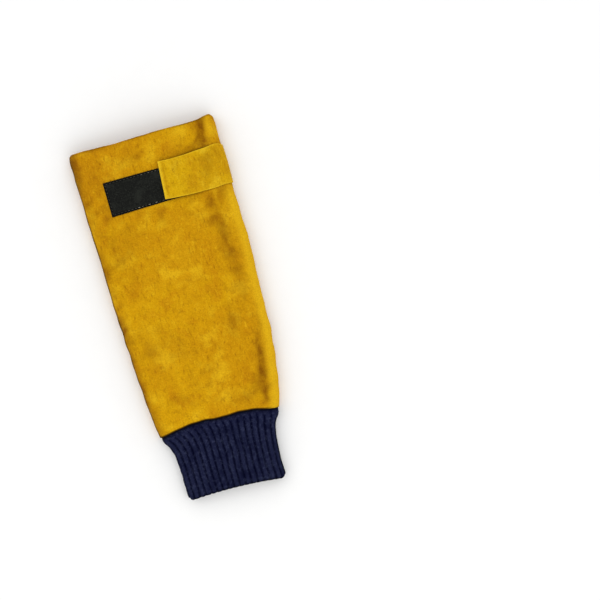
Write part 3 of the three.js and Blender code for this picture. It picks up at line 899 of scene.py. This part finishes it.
def leather_tones(x, along, seen, outside):
    """Where the finish darkens, pales and warms. Mark is the sum of the dark marks, which are partly stains
    and partly painted shade, a painted shade in a bell from the folded edge, painted shade in the pressed
    folds and the painted shadow beside the strap. Dark is the greatest of the painted shade lines along
    the fold, in the strap's corner and in the crevice along the lower edge, and of a dark line along the
    rim. Edge is a painted highlight in a bell beside the seam edge, or the pale marks of rubbed nap and
    painted highlights. The unseen sides have clouds alone."""
    left, right = leather_section(along)[:2]
    from_left = x - left
    streaks = np.clip(0.92 + 0.12 * wander(x, along, 34, 31), 0.8, 1)
    patchy = np.clip(0.8 + 0.5 * wander(x, along, 50, 32), 0, 2)
    # Painted shade: a brown bell beside the folded edge, and brown in the pressed folds.
    left_shade = 0.58 * bell(from_left / 7.5) * patchy
    pressed = np.clip(fold_depth(x, along) / 9, 0, 0.4)
    # Painted shadow beside the strap's edges, and a painted shade line in its corner and under it.
    shade, corner = beside_strap(x, along)
    front = marks_at(MARKS, x, along) + left_shade + pressed + shade
    clouds = 0.45 * wander(x, along, 30, 34) + 0.9 * wander(x, along, 95, 35)
    plain = 0.24 * np.clip(clouds, 0, 1.5)
    # Painted shade lines along the folded edge and its upper part and in the crevice at the lower edge, and a dark
    # line along the rim.
    left_line = 0.88 * bell((from_left / 1.7) ** 2) * streaks
    lower_line = 0.97 * bell(((LEATHER_LENGTH - along) / 1.7) ** 2)
    rim_line = 0.75 * bell(along / 1.4) * np.clip(0.75 + 0.4 * wander(x, along, 40, 33), 0, 1)
    upper_left = 0.45 * bell(from_left / 5) * smooth((75 - along) / 45) * smooth(along / 8) * streaks
    by_edge = np.maximum(np.maximum(left_line, upper_left), corner)
    dark = seen * by_edge + outside * np.maximum(lower_line, rim_line)
    # A painted highlight in a bell beside the seam edge, taken with the pale marks.
    by_seam = 0.95 * bell((right - x - 5) / 7) * smooth((along - 80) / 20)
    paler = np.maximum(by_seam, marks_at(PALE_MARKS, x, along))
    return {
        "mark": np.clip(mix(plain, front, seen), 0, 0.9),
        "dark": np.clip(dark, 0, 0.97),
        "edge": mix(0.2 * (~outside), paler, seen),
        "warm": smooth((150 - along) / 140) * smooth((60 - x) / 100),
    }


def make_leather_tube(material):
    """Rings down the outside, over the cut lower edge, up the inside and over the rim. Each ring is
    the section at its distance from the rim, moved inwards by out."""
    side, u = side_stations([150, 36, 54, 32])
    lip, turn = 0.35, 2.6
    down = np.concatenate([
        lip + 2.0 * np.linspace(0, 1, 6) ** 1.5,
        np.linspace(2.35, LEATHER_LENGTH - turn, 226)[1:],
    ])
    roll = np.linspace(0, 1, 7)[1:]
    up = np.linspace(LEATHER_LENGTH - lip, lip, 62)
    along = np.concatenate([
        down,
        LEATHER_LENGTH - turn * (1 - roll),
        [LEATHER_LENGTH],
        up,
        [0, 0],
    ])
    out = np.concatenate([
        0 * down,
        -0.55 * (1 - np.sqrt(1 - roll**2 * 0.98)),
        [-LEATHER_WALL + 0.35],
        0 * up - LEATHER_WALL,
        [-LEATHER_WALL + lip, -lip],
    ])
    points, x = leather_surface(side[None], u[None], along[:, None], out[:, None])
    fold = leather_section(along)[3][:, None]
    outside = (np.arange(len(along)) < len(down) + len(roll))[:, None]
    seen = outside * smooth((points[..., 2] / fold - 0.78) / 0.3)
    piece = new_piece(
        "leather_tube", points.reshape(-1, 3), grid_faces(len(along), len(u), True, True), material,
        leather_tones(x, along[:, None] + 0 * x, seen, outside),
    )
    declare(piece, "sleeve_body", "sleeve_leather", (0.40, 0.37), "laid", [])


def crown_share(x, along):
    """The share of the crown's width at which a sideways place lies."""
    left, right, height, fold = leather_section(along)
    reach = (right - left) / 2 - fold
    half = reach + fold * np.sin(np.arctan(2 * (height - 2 * fold) / reach))
    return 0.5 + (x - (left + right) / 2) / (2 * half)


def strap_stand(x):
    """The height of the strap's inner face over the leather: it steps down past each patch's end."""
    hook_end = STRAP_TIP + HOOK_SETBACK + HOOK_LENGTH
    loop_end = max(LOOP_START + LOOP_LENGTH, hook_end)

    def over(end, thickness):
        """The step down past the end of one patch."""
        return (thickness + CLEARANCE) * (1 - smooth((x - end - STEP_RAMP / 4) / STEP_RAMP))

    return CLEARANCE + over(loop_end, LOOP_THICKNESS) + over(hook_end, HOOK_THICKNESS)


def eased(count, margin):
    """Shares from 0 to 1, crowded within margin of each end so that an edge can be rounded."""
    close = margin * np.array([0, 0.12, 0.3, 0.6])
    return np.concatenate([close, np.linspace(margin, 1 - margin, count), 1 - close[::-1]])


def edge_round(share_a, share_b, margin_a, margin_b):
    """One inside a strip and nought on its border, along a rounded-off square corner."""
    da = np.minimum(share_a, 1 - share_a) / margin_a
    db = np.minimum(share_b, 1 - share_b) / margin_b
    near = np.clip(np.minimum(da, db), 0, 1)
    return (1 - (1 - near) ** 3) ** (1 / 3)


def strip_piece(name, place, size, counts, corner, thickness, material, marks):
    """A strip of even thickness whose two faces meet on a rounded border. size is its length and width,
    and counts are the points along and across it. place gives the points at a height over the strip's
    inner face for two grids of shares."""
    margins = corner / np.array(size)
    a, b = np.meshgrid(*map(eased, counts, margins), indexing="ij")
    swell = edge_round(a, b, *margins)
    middle = thickness / 2
    top = place(a, b, middle + middle * swell)
    under = place(a, b, middle - middle * swell)
    faces = grid_faces(*a.shape, False, False)
    inner = np.zeros(a.shape, bool)
    inner[1:-1, 1:-1] = True
    inner = inner.ravel()
    number = np.where(inner, a.size + np.cumsum(inner) - 1, np.arange(a.size))
    points = np.concatenate([top.reshape(-1, 3), under.reshape(-1, 3)[inner]])
    both = np.concatenate([faces, number[faces][:, ::-1]])
    fields = {label: np.concatenate([v.ravel(), v.ravel()[inner]]) for label, v in marks(a, b).items()}
    return new_piece(name, points, both, material, fields)


def make_strap(material):
    """The strip follows the sleeve's section from its tip on the front, round the seam edge and to
    its root under the back, standing off the leather by the patches between them. It sags on the
    front, its tip is cut aslant, and its upper edge is pinched in round the seam edge."""
    tip = float(crown_share(STRAP_TIP, STRAP_DROP))
    lengths = np.array([STRAP_REACH - STRAP_FOLD, STRAP_FOLD * 2.9, STRAP_BACK - STRAP_FOLD])
    total = lengths.sum()
    stops = np.concatenate([[0], np.cumsum(lengths)]) / total

    def place(a, b, rise):
        """The point at a share along the strap, one across it and a height over its inner face."""
        rise = rise * (1 - 0.2 * smooth((a - stops[2]) * total / 10))
        side = np.select([a < stops[1], a < stops[2]], [CROWN, SEAM], BACK)
        local = (a - stops[side]) / (stops[side + 1] - stops[side])
        u = np.select([side == CROWN, side == SEAM], [tip + (1 - tip) * local, local], ROOT_SHARE * local)
        x = section_points(leather_section(STRAP_DROP), side, u)[0]
        over = np.where(side == CROWN, local, 1)
        share = smooth(over)
        half = mix(STRAP_END_WIDTH, STRAP_ROOT_WIDTH, share) / 2
        travel = np.maximum(0, STRAP_BEND - x) * STRAP_LEAN
        pinch = np.select([side == CROWN, side == SEAM], [0 * a, smooth(2 * local)], 1)
        middle = STRAP_DROP + STRAP_SAG * np.sin(np.pi * over) + np.where(side == CROWN, travel, -travel)
        along = middle + half * (2 * b - 1) + STRAP_PINCH * pinch * (1 - b)
        cut = crown_share(STRAP_TIP - (along - middle) * STRAP_TIP_LEAN, along)
        straight = (cut - tip) * (1 - share)
        u = np.where(side == CROWN, u + straight, u)
        stand = np.where(side == CROWN, strap_stand(x), CLEARANCE)
        from_tip = a * total
        from_side = (1 - b) * 2 * half
        curl = CORNER_CURL * bell(from_tip / CORNER_CURL_LENGTH) * bell(from_side / CORNER_CURL_WIDTH)
        curl = curl + END_CURL * bell(from_tip / END_CURL_LENGTH)
        puff = (STRAP_WAVE * wander(from_tip, along, 24, 41) + STRAP_PUFF) * (side == CROWN)
        points = leather_surface(side, u, along, stand + rise + curl + puff)[0]
        points[..., 1] -= STRAP_SIDE_WAVE * wander(from_tip, 0 * along, 26, 42) * (side == CROWN)
        return points

    def marks(a, b):
        """The strap's own handling marks, a faint line across behind its tip, pale cut sides that are partly
        painted highlight, and a painted highlight on the lifted lower corner of its tip.
        """
        from_tip = a * total
        x, along = STRAP_TIP + from_tip, STRAP_DROP + STRAP_ROOT_WIDTH * (b - 0.5)
        seam = 0.3 * bell((from_tip - 5.2) / 0.8)
        mark = marks_at(STRAP_MARKS, x, along) * (a < stops[1] + 0.05) + seam
        sides = np.minimum(b, 1 - b) * STRAP_ROOT_WIDTH
        # A painted highlight on the tip's lifted lower corner; the pale cut sides and tip are partly painted
        # highlight.
        corner = bell(from_tip / 6) * bell((1 - b) * STRAP_END_WIDTH / 5)
        edge = np.maximum(bell(sides / 0.9), bell((from_tip / 2.9) ** 2))
        return {"mark": np.clip(mark, 0, 1), "edge": np.maximum(edge, 0.9 * corner), "warm": 0 * a}

    piece = strip_piece(
        "wrap_strap", place, (total, STRAP_ROOT_WIDTH), (170, 54), STRAP_CORNER, STRAP_THICKNESS,
        material, marks,
    )
    size = (STRAP_ROOT_WIDTH * MM, total * MM)
    declare(piece, "strap", "strap_leather", size, "folded", ["leather_tube"])


def patch_place(start, length, drop, width, end_width, stand):
    """The place of a point of a patch that lies on the front, stand above the leather, its width
    changing evenly from its start to its end."""

    def place(a, b, rise):
        """The point at a share along the patch, one across it and a height over its inner face."""
        x = start + length * a
        down = mix(width, end_width, a) * (b - 0.5)
        along = drop + (start + length / 2 - x) * LOOP_LEAN + down
        u = crown_share(x + down * LOOP_LEAN, along)
        return leather_surface(np.full(a.shape, CROWN), u, along, stand + rise)[0]

    return place


def make_loop_patch(material):
    """The loop tape sewn to the front: a woven border round a raised nap."""
    place = patch_place(LOOP_START, LOOP_LENGTH, LOOP_DROP, LOOP_WIDTH, LOOP_END_WIDTH, CLEARANCE)

    def inwards(a, b):
        """The distance from the nearest side of the patch."""
        return np.minimum(np.minimum(a, 1 - a) * LOOP_LENGTH, np.minimum(b, 1 - b) * LOOP_WIDTH)

    def napped(a, b, rise):
        """The upper face steps down to the border and is ruffled inside it."""
        raised = smooth((inwards(a, b) - PATCH_BORDER) / 0.8)
        ruffle = PATCH_RUFFLE * wander(a * LOOP_LENGTH, b * LOOP_WIDTH, 3.2, 51) * raised
        upper = rise - PATCH_BORDER_STEP * (1 - raised) + ruffle
        return place(a, b, np.where(rise > LOOP_THICKNESS / 2, upper, rise))

    def marks(a, b):
        """One on the border and nought on the nap."""
        return {"mark": 1 - smooth((inwards(a, b) - PATCH_BORDER + 0.4) / 0.8)}

    piece = strip_piece(
        "loop_tape_patch", napped, (LOOP_LENGTH, LOOP_WIDTH), (190, 70), PATCH_CORNER, LOOP_THICKNESS,
        material, marks,
    )
    size = (LOOP_WIDTH * MM, LOOP_LENGTH * MM)
    declare(piece, "loop_patch", "loop_tape", size, "laid", ["leather_tube"])
    return place


def make_hook_patch(material):
    """The hook tape under the strap's tip."""
    drop = LOOP_DROP - (LOOP_WIDTH - HOOK_WIDTH) / 4
    stand = LOOP_THICKNESS + 2 * CLEARANCE
    place = patch_place(STRAP_TIP + HOOK_SETBACK, HOOK_LENGTH, drop, HOOK_WIDTH, HOOK_WIDTH, stand)
    piece = strip_piece(
        "hook_tape_patch", place, (HOOK_LENGTH, HOOK_WIDTH), (50, 46), HOOK_CORNER, HOOK_THICKNESS,
        material, lambda a, b: {"mark": 0 * a},
    )
    size = (HOOK_WIDTH * MM, HOOK_LENGTH * MM)
    declare(piece, "hook_patch", "hook_tape", size, "laid", ["loop_tape_patch"])


def stitch_row(start, end, pitch, gap):
    """The ends of every stitch of a row between two points of a plane."""
    start, end = np.array(start, float), np.array(end, float)
    length = np.linalg.norm(end - start)
    count = max(1, round(length / pitch))
    step = (end - start) / count
    first = start + step * np.arange(count)[:, None]
    return first + step * gap / (2 * pitch), first + step * (1 - gap / (2 * pitch))


def make_stitches(name, rows, place, sink, material, slot_name, paler):
    """Short threads: a round section carried along an arc that dives into the piece at both ends.
    rows hold the ends of the stitches in shares, place turns shares and a height into points, and
    worn says how bright a stitch is."""
    begin, finish = (np.concatenate(ends) for ends in zip(*rows))
    t = np.linspace(0, 1, 7)
    middle = begin[:, None] + (finish - begin)[:, None] * t[None, :, None]
    u, v = middle[..., 0], middle[..., 1]
    arch = -sink - 0.9 * THREAD_RADIUS * np.abs(2 * t - 1) ** 4 + 0 * u
    spine = place(u, v, arch)
    up = place(u, v, arch + 1.0) - spine
    up = up / np.linalg.norm(up, axis=-1, keepdims=True)
    run = np.gradient(spine, axis=1)
    run = run / np.linalg.norm(run, axis=-1, keepdims=True)
    sideways = np.cross(run, up)
    turns = np.linspace(0, 2 * np.pi, 7)[:-1]
    thin = THREAD_RADIUS * np.sqrt(np.clip(1 - np.abs(2 * t - 1) ** 6, 0.02, 1))
    cosine, sine = (thin[:, None, None] * f(turns)[:, None] for f in (np.cos, np.sin))
    ring = spine[:, :, None] + sideways[:, :, None] * cosine + up[:, :, None] * sine
    count, rings, sides = ring.shape[:3]
    ends = np.stack([spine[:, 0], spine[:, -1]], 1)
    points = np.concatenate([ring.reshape(count, -1, 3), ends], 1)
    per = rings * sides + 2
    tube = grid_faces(rings, sides, False, True)
    j = np.arange(sides)
    k = (j + 1) % sides
    low = np.stack([0 * j + per - 2, k, j], -1)
    last = (rings - 1) * sides
    high = np.stack([0 * j + per - 1, last + j, last + k], -1)
    triangles = np.concatenate([low, high])
    offsets = (np.arange(count) * per)[:, None, None]
    quads = (tube[None] + offsets).reshape(-1, 4)
    fans = (triangles[None] + offsets).reshape(-1, 3)
    mesh = bpy.data.meshes.new(name)
    flat = (points.reshape(-1, 3) + SHIFT) * MM
    mesh.from_pydata(flat.tolist(), [], [*quads[:, ::-1].tolist(), *fans.tolist()])
    mesh.polygons.foreach_set("use_smooth", np.full(len(mesh.polygons), True))
    brightness = np.repeat(paler(u[:, 3], v[:, 3]), per)
    mesh.attributes.new("paler", "FLOAT", "POINT").data.foreach_set("value", brightness)
    mesh.materials.append(material)
    piece = add(name, mesh)
    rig.ride(piece, "root")
    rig.slot(piece, slot_name)


def knit_rings(below, inset):
    """Rings of the knit before its ribs. Inside the leather they follow its inner face, and below its
    edge they ease into the knit's own section. Returns x, y, z and the outward direction."""
    side, u = side_stations(RING_COUNTS * KNIT_SAMPLING)
    side, u, down = side[None], u[None], below[:, None]
    along = LEATHER_LENGTH + np.minimum(0, down)
    tucked = LEATHER_WALL + KNIT_CLEARANCE
    release = smooth(down / KNIT_RELEASE)
    own = cuff_section(np.maximum(0, down))
    hx, hz, hnx, hnz = section_points(leather_section(along), side, u, lambda q: lift_under(q, along))
    fx, fz, fnx, fnz = section_points(own, side, u)
    press = fold_depth(hx, along) * np.clip(hnz, 0, 1)
    x = mix(hx - hnx * (tucked + press), fx, release)
    z = mix(hz - hnz * (tucked + press), fz, release)
    nx, nz = mix(hnx, fnx, release), mix(hnz, fnz, release)
    size = np.hypot(nx, nz)
    s = (2 * x - own[0] - own[1]) / (own[1] - own[0])
    foot = -LEATHER_LENGTH - CUFF_SHOWN - CUFF_DRIFT * s / 2 + CUFF_ARCH * (1 - s * s)
    edge = lengthwise(hx, np.full(hx.shape, LEATHER_LENGTH))
    corner = corner_cut(x, own[0], own[1], CUFF_CORNER) * np.exp((down - CUFF_SHOWN) / CUFF_CORNER_FADE)
    shown = edge + (foot - edge) * down / CUFF_SHOWN + corner
    y = np.where(down < 0, lengthwise(hx, along + 0 * hx), shown)
    deep = inset[:, None]
    return x - nx / size * deep, y, z - nz / size * deep, nx / size, nz / size


def make_knit_cuff(material):
    """Rings down the outside, round the folded end and up the inside, each cut into equal lengths of
    its own girth so that the ribs fan out towards the leather. A rib is a broad ridge with a shallow
    groove along it, and a narrow valley."""
    per_rib = 14
    lip = KNIT_WALL / 2
    down = np.concatenate([
        np.linspace(-CUFF_TUCK, -1.0, 6)[:-1],
        np.linspace(-1.0, KNIT_RELEASE, 24)[:-1],
        np.linspace(KNIT_RELEASE, CUFF_SHOWN - lip, 72),
    ])
    bend = np.linspace(0, np.pi, 11)[1:-1]
    up = np.linspace(CUFF_SHOWN - lip, -CUFF_TUCK, 26)
    below = np.concatenate([down, CUFF_SHOWN - lip + lip * np.sin(bend), up])
    inset = np.concatenate([0 * down, lip - lip * np.cos(bend), 0 * up + KNIT_WALL])
    fields = np.stack(knit_rings(below, inset), -1)
    count = RIB_COUNT * per_rib
    share = np.arange(count) / count
    rows = len(below)
    closed = np.concatenate([fields, fields[:, :1]], 1)
    step = np.hypot(np.diff(closed[..., 0], axis=1), np.diff(closed[..., 2], axis=1))
    girth = np.concatenate([np.zeros((rows, 1)), np.cumsum(step, 1)], 1)
    drift = 0.0011 * wander(below, 0 * below, 34, 61)
    cut = np.empty((rows, count, 5))
    for row in range(rows):
        want = ((share + drift[row] * np.sin(2 * np.pi * share * 3)) % 1.0) * girth[row, -1]
        for k in range(5):
            cut[row, :, k] = np.interp(want, girth[row], closed[row, :, k])
    rib = np.arange(RIB_COUNT).repeat(per_rib)
    phase = np.tile(np.arange(per_rib) / per_rib, RIB_COUNT)
    from_valley = np.minimum(phase, 1 - phase)
    wide = 0.36 + 0.04 * np.sin(rib * 2.3)
    ridge = np.sin(np.clip(from_valley / wide, 0, 1) * np.pi / 2)[None] ** 1.3
    groove = 0.12 * bell((phase - 0.5) / 0.07)[None]
    depth = RIB_RELIEF * (1 - ridge) + groove
    bulge = 0.22 * wander(rib[None] * 7.0, below[:, None], 17, 62) * ridge
    amount = smooth(below / KNIT_RELEASE)[:, None] * np.clip(1 - inset / KNIT_WALL, 0, 1)[:, None]
    inside = 0.4 * ridge * (inset >= KNIT_WALL)[:, None] * smooth((below - 6) / 12)[:, None]
    sink = depth * amount + np.clip(bulge, 0, 1) * amount - inside * 0.6
    cut[..., 0] -= cut[..., 3] * sink
    cut[..., 2] -= cut[..., 4] * sink
    towards_end = np.sin(np.clip((below - CUFF_SHOWN + 4) / 4, 0, 1) * np.pi / 2)[:, None]
    cut[..., 1] += 0.5 * (1 - ridge) * towards_end
    faces = grid_faces(rows, count, True, True)
    i, j = np.divmod(np.arange(len(faces)), count)
    wales = WALES_PER_RIB / per_rib
    run = np.concatenate([[0], np.cumsum(np.hypot(np.diff(below), np.diff(inset)))]) / COURSE_HEIGHT
    run = np.append(run, run[-1] + 2)
    corners = ((0, 0), (1, 0), (1, 1), (0, 1))
    uv = np.stack([np.stack([(j + p) * wales, run[i + q]], -1) for p, q in corners], 1)
    # Painted shade on the knit: just below the leather's edge, at the folded end, and on the side faces and underside
    # that turn away from the top.
    seam_shade = 0.95 * bell(np.clip(below, 0, None) / 2.4) * (inset < 0.1)
    end_shade = 0.8 * bell((CUFF_SHOWN - below) / 2.0)
    side_shade = 0.75 * smooth((0.5 - cut[..., 4]) / 0.4) * smooth((below - 1) / 6)[:, None]
    mark = np.maximum(np.maximum(seam_shade, end_shade)[:, None], side_shade)
    piece = new_piece(
        "rib_knit_cuff", cut[..., :3].reshape(-1, 3), faces, material,
        {"rib": mix(0.5, ridge, smooth((below - 1) / 9)[:, None]), "mark": mark}, uv,
    )
    declare(piece, "knit_cuff", "rib_knit", (0.30, 0.104), "stretched", ["leather_tube"])


def sew_patch(place, material):
    """A row of stitches round the loop tape, a little inside its border."""
    size = np.array([LOOP_LENGTH, LOOP_WIDTH])
    a, b = PATCH_SEAM_INSET / size
    corners = np.array([(a, b), (1 - a, b), (1 - a, 1 - b), (a, 1 - b), (a, b)])
    rows = [
        tuple(ends / size for ends in stitch_row(p * size, q * size, PATCH_STITCH, PATCH_STITCH_GAP))
        for p, q in zip(corners, corners[1:])
    ]

    def on_top(u, v, rise):
        """A point at a height over the patch's border."""
        return place(u, v, LOOP_THICKNESS - PATCH_BORDER_STEP + rise)

    def paler(u, v):
        """Bright along the lower side, less so along the upper one, and rubbed in places."""
        low = (v > 0.5) * smooth((u - 0.14) / 0.16)
        high = 0.45 * (v < 0.5) * smooth((u - 0.3) / 0.1)
        rubbed = np.clip(0.6 + 0.7 * wander(u * LOOP_LENGTH, v, 7, 71), 0, 1)
        return 0.12 + 0.88 * np.clip(low + high, 0, 1) * rubbed

    make_stitches("patch_stitches", rows, on_top, -0.12, material, "loop_tape", paler)


def sew_root(material):
    """A box of stitches with a cross where the strap's root is sewn to the back."""

    def under(x, along, rise):
        """A point at a height over the root's outer face, where the strap is pressed thinner."""
        u = (STRAP_BEND - x) / BACK_WIDTH
        out = CLEARANCE + 0.8 * STRAP_THICKNESS + rise
        return leather_surface(np.full(x.shape, BACK), u, along, out)[0]

    x0 = STRAP_RIGHT - STRAP_BACK + ROOT_BOX_INSET
    x1 = x0 + ROOT_BOX_LENGTH
    half = STRAP_ROOT_WIDTH / 2 - ROOT_SEAM_INSET
    a0, a1 = STRAP_DROP - half, STRAP_DROP + half
    corners = [(x0, a0), (x1, a0), (x1, a1), (x0, a1), (x0, a0)]
    pairs = [*zip(corners, corners[1:]), ((x0, a0), (x1, a1)), ((x0, a1), (x1, a0))]
    rows = [stitch_row(p, q, ROOT_STITCH, ROOT_STITCH_GAP) for p, q in pairs]
    make_stitches("root_stitches", rows, under, 0.12, material, "strap_leather", lambda u, v: 0 * u + 1)


def soft_light(name, place, size, power, colour):
    """A square lamp at a place, turned to the middle of the sleeve's back."""
    lamp = bpy.data.lights.new(name, "AREA")
    lamp.size, lamp.energy, lamp.color = size, power, colour
    made = add(name, lamp)
    flat = math.hypot(place[0], place[1])
    made.location = place
    made.rotation_euler = (math.atan2(flat, place[2]), 0, math.atan2(-place[1], -place[0]) - math.pi / 2)


def set_the_stage():
    """The pale floor, the even sky, the lamps and the camera straight above."""
    scene = bpy.context.scene
    floor = bpy.data.meshes.new("floor")
    r = FLOOR_REACH
    floor.from_pydata([(-r, -r, 0), (r, -r, 0), (r, r, 0), (-r, r, 0)], [], [(0, 1, 2, 3)])
    n = Nodes("pale_floor")
    grain = n.noise(40.0, 3.0)
    colour = n.blend(grain, (0.905, 0.905, 0.9), (0.93, 0.93, 0.925))
    dull = n.spread(grain, 0.3, 0.7, 0.9, 0.98)
    floor.materials.append(n.finish(colour, dull, n.bump(grain, 0.0002, 0.05), Specular_IOR_Level=0.1))
    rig.stage(add("floor", floor))
    world = bpy.data.worlds.new("studio")
    world.use_nodes = True
    sky = world.node_tree.nodes["Background"].inputs
    sky[0].default_value, sky[1].default_value = (1.0, 1.0, 1.0, 1.0), SKY
    scene.world = world
    for name, settings in LAMPS.items():
        soft_light(name, *settings)
    lens = bpy.data.cameras.new("camera")
    lens.lens, lens.sensor_width, lens.clip_end = LENS, SENSOR, 60.0
    camera = add("camera", lens)
    turn = -math.radians(SLEEVE_LEAN)
    across, up = PHOTO_CENTRE[0] - SLEEVE_CENTRE[0], SLEEVE_CENTRE[1] - PHOTO_CENTRE[1]
    aside = np.array([across, up]) * PIXEL
    camera.location = (
        aside[0] * math.cos(turn) - aside[1] * math.sin(turn),
        aside[0] * math.sin(turn) + aside[1] * math.cos(turn),
        SEAM_LEVEL + 2 * PHOTO_CENTRE[0] * PIXEL * LENS / SENSOR,
    )
    camera.rotation_euler = (0, 0, turn)
    scene.camera = camera
    scene.view_settings.view_transform = "Standard"
    scene.view_settings.look = "None"


set_the_stage()

suede = split_suede(
    "golden_split_suede",
    srgb(209, 156, 9), srgb(192, 131, 8), srgb(226, 178, 24), srgb(134, 80, 5), srgb(46, 27, 4),
)
strap_suede = split_suede(
    "strap_suede",
    srgb(212, 166, 12), srgb(198, 144, 11), srgb(230, 190, 36), srgb(140, 90, 6), srgb(60, 38, 5),
)
loop_tape = fastening_tape("loop_tape", srgb(13, 14, 12), srgb(40, 42, 37), 700.0)
hook_tape = fastening_tape("hook_tape", srgb(20, 20, 20), srgb(48, 48, 48), 1100.0)
navy_knit = rib_knit("navy_rib_knit", srgb(29, 33, 61), srgb(0, 2, 34), srgb(52, 57, 84))
grey_thread = sewing_thread("grey_thread", srgb(150, 148, 134), srgb(24, 25, 22))
tan_thread = sewing_thread("tan_thread", srgb(196, 150, 60), srgb(140, 96, 30))

make_leather_tube(suede)
make_strap(strap_suede)
loop_place = make_loop_patch(loop_tape)
make_hook_patch(hook_tape)
make_knit_cuff(navy_knit)
sew_patch(loop_place, grey_thread)
sew_root(tan_thread)

boxes = {"cad": cad_box, "visual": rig.bounds()}
with open("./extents.json", "w") as out:
    json.dump({name: [list(map(float, corner)) for corner in box] for name, box in boxes.items()}, out)
